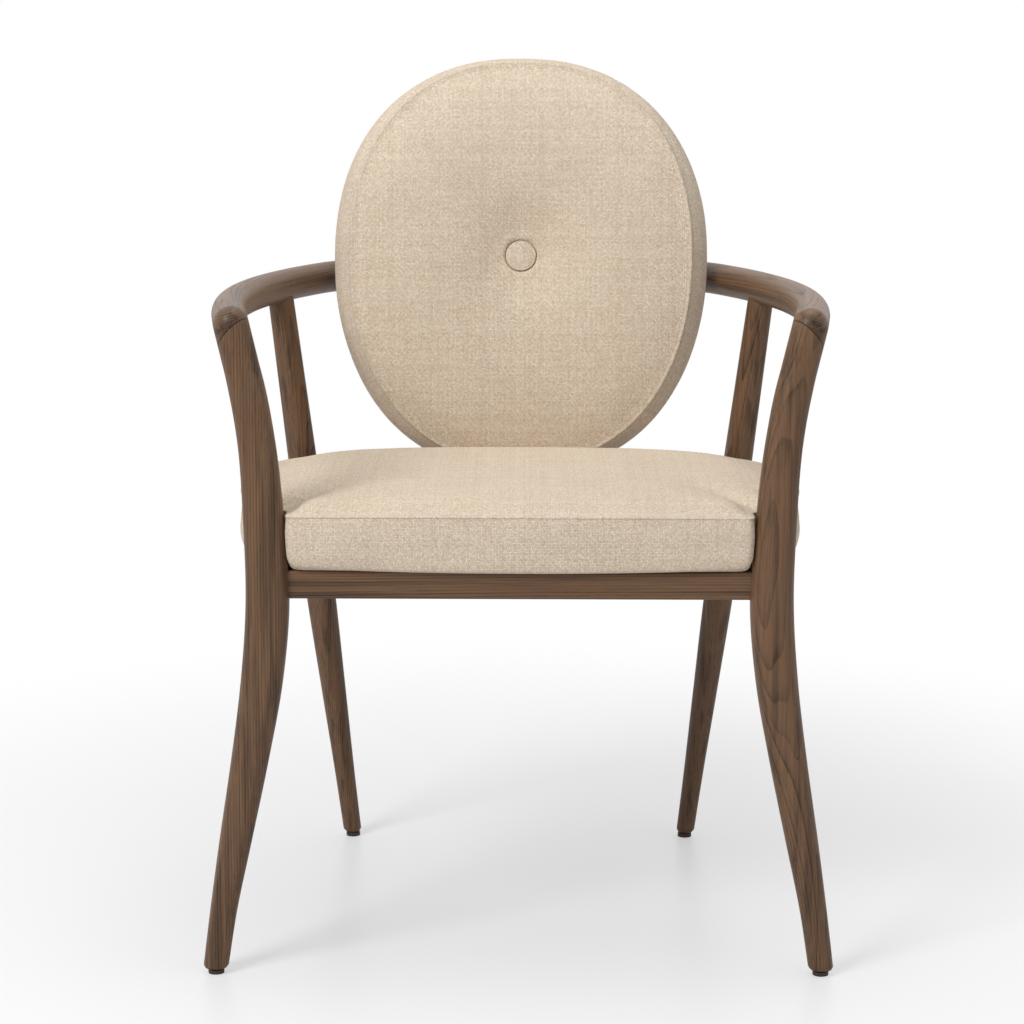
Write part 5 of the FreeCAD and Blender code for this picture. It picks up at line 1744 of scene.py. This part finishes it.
@dataclass
class Studio:
    """Pale floor and white surround, soft lamps and the camera of the photograph."""

    lens: float = 93.2
    pitch: float = 10.5
    place: tuple[float, float, float] = (0.0, -2.8206, 0.941)
    shift: float = -8 / 1024
    roll: float = 0.2
    fill: float = 0.33
    aim: tuple[float, float, float] = (0.0, 0.0, 0.5)
    floor_radius: float = 14.0
    floor_middle: float = 0.1
    fade: tuple[float, float] = (0.35, 1.15)
    fade_start: float = 0.45

    def camera(self) -> None:
        """Creates the camera."""
        data = bpy.data.cameras.new("camera")
        data.lens = self.lens
        data.sensor_width = 36.0
        data.shift_x = self.shift
        camera = bpy.data.objects.new("camera", data)
        camera.location = self.place
        turn = Euler(
            (math.radians(90 - self.pitch), 0, 0)
        ).to_matrix() @ Matrix.Rotation(math.radians(self.roll), 3, "Z")
        camera.rotation_euler = turn.to_euler()
        bpy.context.scene.collection.objects.link(camera)
        bpy.context.scene.camera = camera

    def light(self, lamp: Lamp) -> None:
        """Adds a lamp that points at the middle of the chair."""
        data = bpy.data.lights.new(lamp.name, "AREA")
        data.size = lamp.size
        data.energy = lamp.power
        made = bpy.data.objects.new(lamp.name, data)
        made.location = lamp.place
        way = Vector(self.aim) - Vector(lamp.place)
        made.rotation_euler = way.to_track_quat("-Z", "Y").to_euler()
        bpy.context.scene.collection.objects.link(made)

    def surround(self) -> None:
        """White world that the camera and reflections see at full strength."""
        world = bpy.data.worlds.new("surround")
        bpy.context.scene.world = world
        world.use_nodes = True
        tree = world.node_tree
        tree.nodes.clear()
        path = tree.nodes.new("ShaderNodeLightPath")
        seen = Reckoned(tree, path.outputs["Is Camera Ray"])
        for other in ("Is Glossy Ray", "Is Transmission Ray"):
            seen = seen.maths("MAXIMUM", Reckoned(tree, path.outputs[other]))
        strength = seen * (1 - self.fill) + self.fill
        light = node(tree, "ShaderNodeBackground", {}, {"Color": (1.0, 1.0, 1.0), "Strength": strength})
        output = tree.nodes.new("ShaderNodeOutputWorld")
        tree.links.new(light.socket, output.inputs[0])

    def floor(self) -> None:
        """Round pale floor that fades to white away from the chair."""
        mesh = bpy.data.meshes.new("floor")
        work = bmesh.new()
        bmesh.ops.create_circle(work, cap_ends=True, segments=96, radius=self.floor_radius)
        work.to_mesh(mesh)
        work.free()
        floor = bpy.data.objects.new("floor", mesh)
        bpy.context.scene.collection.objects.link(floor)
        material, tree, surface = new_material("pale_floor")
        feed(tree, surface, Base_Color=(0.86, 0.86, 0.87), Roughness=0.35)
        path = tree.nodes.new("ShaderNodeLightPath")
        x, y, _ = split(object_place(tree))
        back = y - self.floor_middle
        away = (x * x + back * back) ** 0.5
        share = away.between(*self.fade, self.fade_start, 1.0) * Reckoned(
            tree, path.outputs["Is Camera Ray"]
        )
        glow = node(tree, "ShaderNodeEmission", {}, {"Color": (1.0, 1.0, 1.0), "Strength": 1.0})
        whole = node(tree, "ShaderNodeMixShader", {}, {0: share, 1: surface.outputs[0], 2: glow})
        output = next(n for n in tree.nodes if n.type == "OUTPUT_MATERIAL")
        tree.links.new(whole.socket, output.inputs[0])
        floor.data.materials.append(material)

    def build(self) -> None:
        """Builds the whole studio."""
        bpy.context.scene.view_settings.view_transform = "Standard"
        self.camera()
        self.surround()
        self.floor()
        for lamp in LAMPS:
            self.light(lamp)


# Dressing the CAD pieces that are shown as they are


def dress_nodes(finishes: Finishes) -> None:
    """Gives each CAD piece that stays in sight its finish."""
    wood = finishes["plain_beech"]
    groups = {
        wood: ["rail_joint_dowels", "front_leg_dowels", "rear_leg_dowels", "seat_rail_dowels"],
        finishes["block_beech"]: [
            f"corner_block_{end}_{side}" for end in ("front", "rear") for side in ("right", "left")
        ],
        finishes["zinc_steel"]: [
            "corner_block_screws",
            "seat_screws",
            "glide_nails",
            "back_bolts",
            "back_t_nuts",
            "bracket_screws",
            "bracket_bolts",
        ],
        finishes["glide_plastic"]: [
            f"glide_{end}_{side}" for end in ("front", "rear") for side in ("right", "left")
        ],
        finishes["birch_ply"]: ["seat_panel", "back_panel"],
        finishes["flax_twine"]: ["button_twine"],
        finishes["spacer_ash"]: ["back_spacer_right", "back_spacer_left"],
        finishes["black_steel"]: ["back_bracket"],
    }
    for material, names in groups.items():
        for name in names:
            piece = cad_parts[name]
            if not piece.material_slots:
                LOG.warning("%s has no material slot", name)
                continue
            for slot in piece.material_slots:
                slot.material = material


def all_finishes() -> Finishes:
    """Every finish of the chair by name."""
    finishes = [
        WoodFinish(
            "front_leg_left",
            pith=(0.115, 0.010),
            lean=(0.004, 0.0),
            ring=0.0028,
            waves=0.0009,
            joint=True,
        ),
        WoodFinish(
            "front_leg_right",
            pith=(-0.002, 0.050),
            lean=(0.012, 0.0),
            ring=0.0029,
            waves=0.0016,
            joint=True,
            bow=(-0.2, 0.47),
        ),
        WoodFinish("rear_leg_left", pith=(-0.09, 0.02), lean=(0.03, 0.0), ring=0.0024, waves=0.001),
        WoodFinish("rear_leg_right", pith=(0.08, 0.03), lean=(-0.02, 0.02), ring=0.0022, waves=0.001),
        WoodFinish(
            "arm_rail_right", pith=(0.02, -0.055), lean=(0.0, 0.02), ring=0.0025, waves=0.0014, joint=True
        ),
        WoodFinish(
            "arm_rail_left",
            pith=(-0.03, -0.06),
            lean=(0.01, -0.02),
            ring=0.0024,
            waves=0.0014,
            joint=True,
        ),
        WoodFinish("arm_bow", pith=(0.05, 0.03), lean=(0.0, 0.02), ring=0.0023, waves=0.0016),
        WoodFinish("front_seat_rail", pith=(0.03, -0.05), lean=(0.0, 0.012), ring=0.0023, waves=0.0012),
        WoodFinish("rear_seat_rail", pith=(0.04, 0.04), lean=(0.01, 0.0), ring=0.0024, waves=0.0012),
        WoodFinish(
            "side_seat_rail_right", pith=(0.05, 0.02), lean=(0.0, 0.01), ring=0.0023, waves=0.0012
        ),
        WoodFinish(
            "side_seat_rail_left", pith=(-0.05, 0.03), lean=(0.0, -0.01), ring=0.0025, waves=0.0012
        ),
        WoodFinish("spacer_ash", pith=(0.02, 0.4), from_plank=False),
        WoodFinish("plain_beech", Species.BEECH, contrast=0.3, from_plank=False),
        WoodFinish("block_beech", Species.BEECH, pith=(0.3, -0.2), contrast=0.35, from_plank=False),
        MelangeCloth(),
        PlainFinish(
            "zinc_steel", paint(168, 168, 165), paint(128, 128, 126), roughness=0.36, metallic=1.0
        ),
        PlainFinish("black_steel", paint(34, 33, 33), paint(24, 24, 24), (900, 900, 900), 0.5, 0.4),
        PlainFinish("glide_plastic", paint(58, 40, 30), paint(44, 30, 22), (700, 700, 700), 0.45),
        PlainFinish("birch_ply", paint(206, 178, 136), paint(182, 150, 108), (40, 40, 900), 0.6),
        PlainFinish("flax_twine", paint(196, 182, 158), paint(160, 144, 118), (900, 900, 900), 0.9),
        PlainFinish("seam_thread", paint(226, 214, 194), paint(196, 180, 154), (3000, 3000, 3000), 0.8),
        PlainFinish("black_lining", paint(40, 40, 42), paint(26, 26, 28), (1400, 1400, 1400), 0.95),
    ]
    return {finish.name: finish.material() for finish in finishes}


# Bores for the bolts in metres: how near the axis the shank's corners lie, how deep the head
# is sunk and how far its bore runs out, and the radii of head and shank
SHANK_REACH = 0.0045
HEAD_DEPTH = 0.0034
HEAD_OVERRUN = 0.012
HEAD_BORE = 0.0055
SHANK_BORE = 0.0033


def bolt_holes() -> list[tuple[Array, Array, float]]:
    """Shank and head bores of the two bolts through the bow, read from the bolts themselves."""
    points = mesh_points(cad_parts["back_bolts"])
    holes = []
    for side in (-1, 1):
        own = points[points[:, 0] * side > 0]
        middle = own.mean(axis=0)
        _, _, ways = np.linalg.svd(own - middle, full_matrices=False)
        way = ways[0] * np.sign(ways[0][1])
        along = (own - middle) @ way
        off = np.linalg.norm(own - middle - np.outer(along, way), axis=1)
        centre = own[off < SHANK_REACH].mean(axis=0)
        axis_point = centre - way * ((centre - middle) @ way)
        head = axis_point + way * float(along.max())
        holes.append((head - way * HEAD_DEPTH, head + way * HEAD_OVERRUN, HEAD_BORE))
        holes.append((axis_point + way * float(along.min()), head, SHANK_BORE))
    return holes


def main() -> None:
    """Builds the chair and its studio."""
    logging.basicConfig(level=logging.INFO, format="%(name)s %(message)s")
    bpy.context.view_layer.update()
    finishes = all_finishes()
    Studio().build()
    rail = HorseshoeRail()
    rail.build_bow(finishes["arm_bow"], bolt_holes())
    rail.build_arm("arm_rail_right", 1.0, finishes["arm_rail_right"])
    rail.build_arm("arm_rail_left", -1.0, finishes["arm_rail_left"])
    legs = LegSet(rail)
    legs.build(finishes)
    SeatFrame(legs).build(finishes)
    cloth = finishes["beige_melange_twill"]
    SeatCushion(legs).build(cloth, finishes["black_lining"], finishes["zinc_steel"])
    BackCushion().build(cloth, finishes["seam_thread"])
    dress_nodes(finishes)


if __name__ == "__main__":
    main()
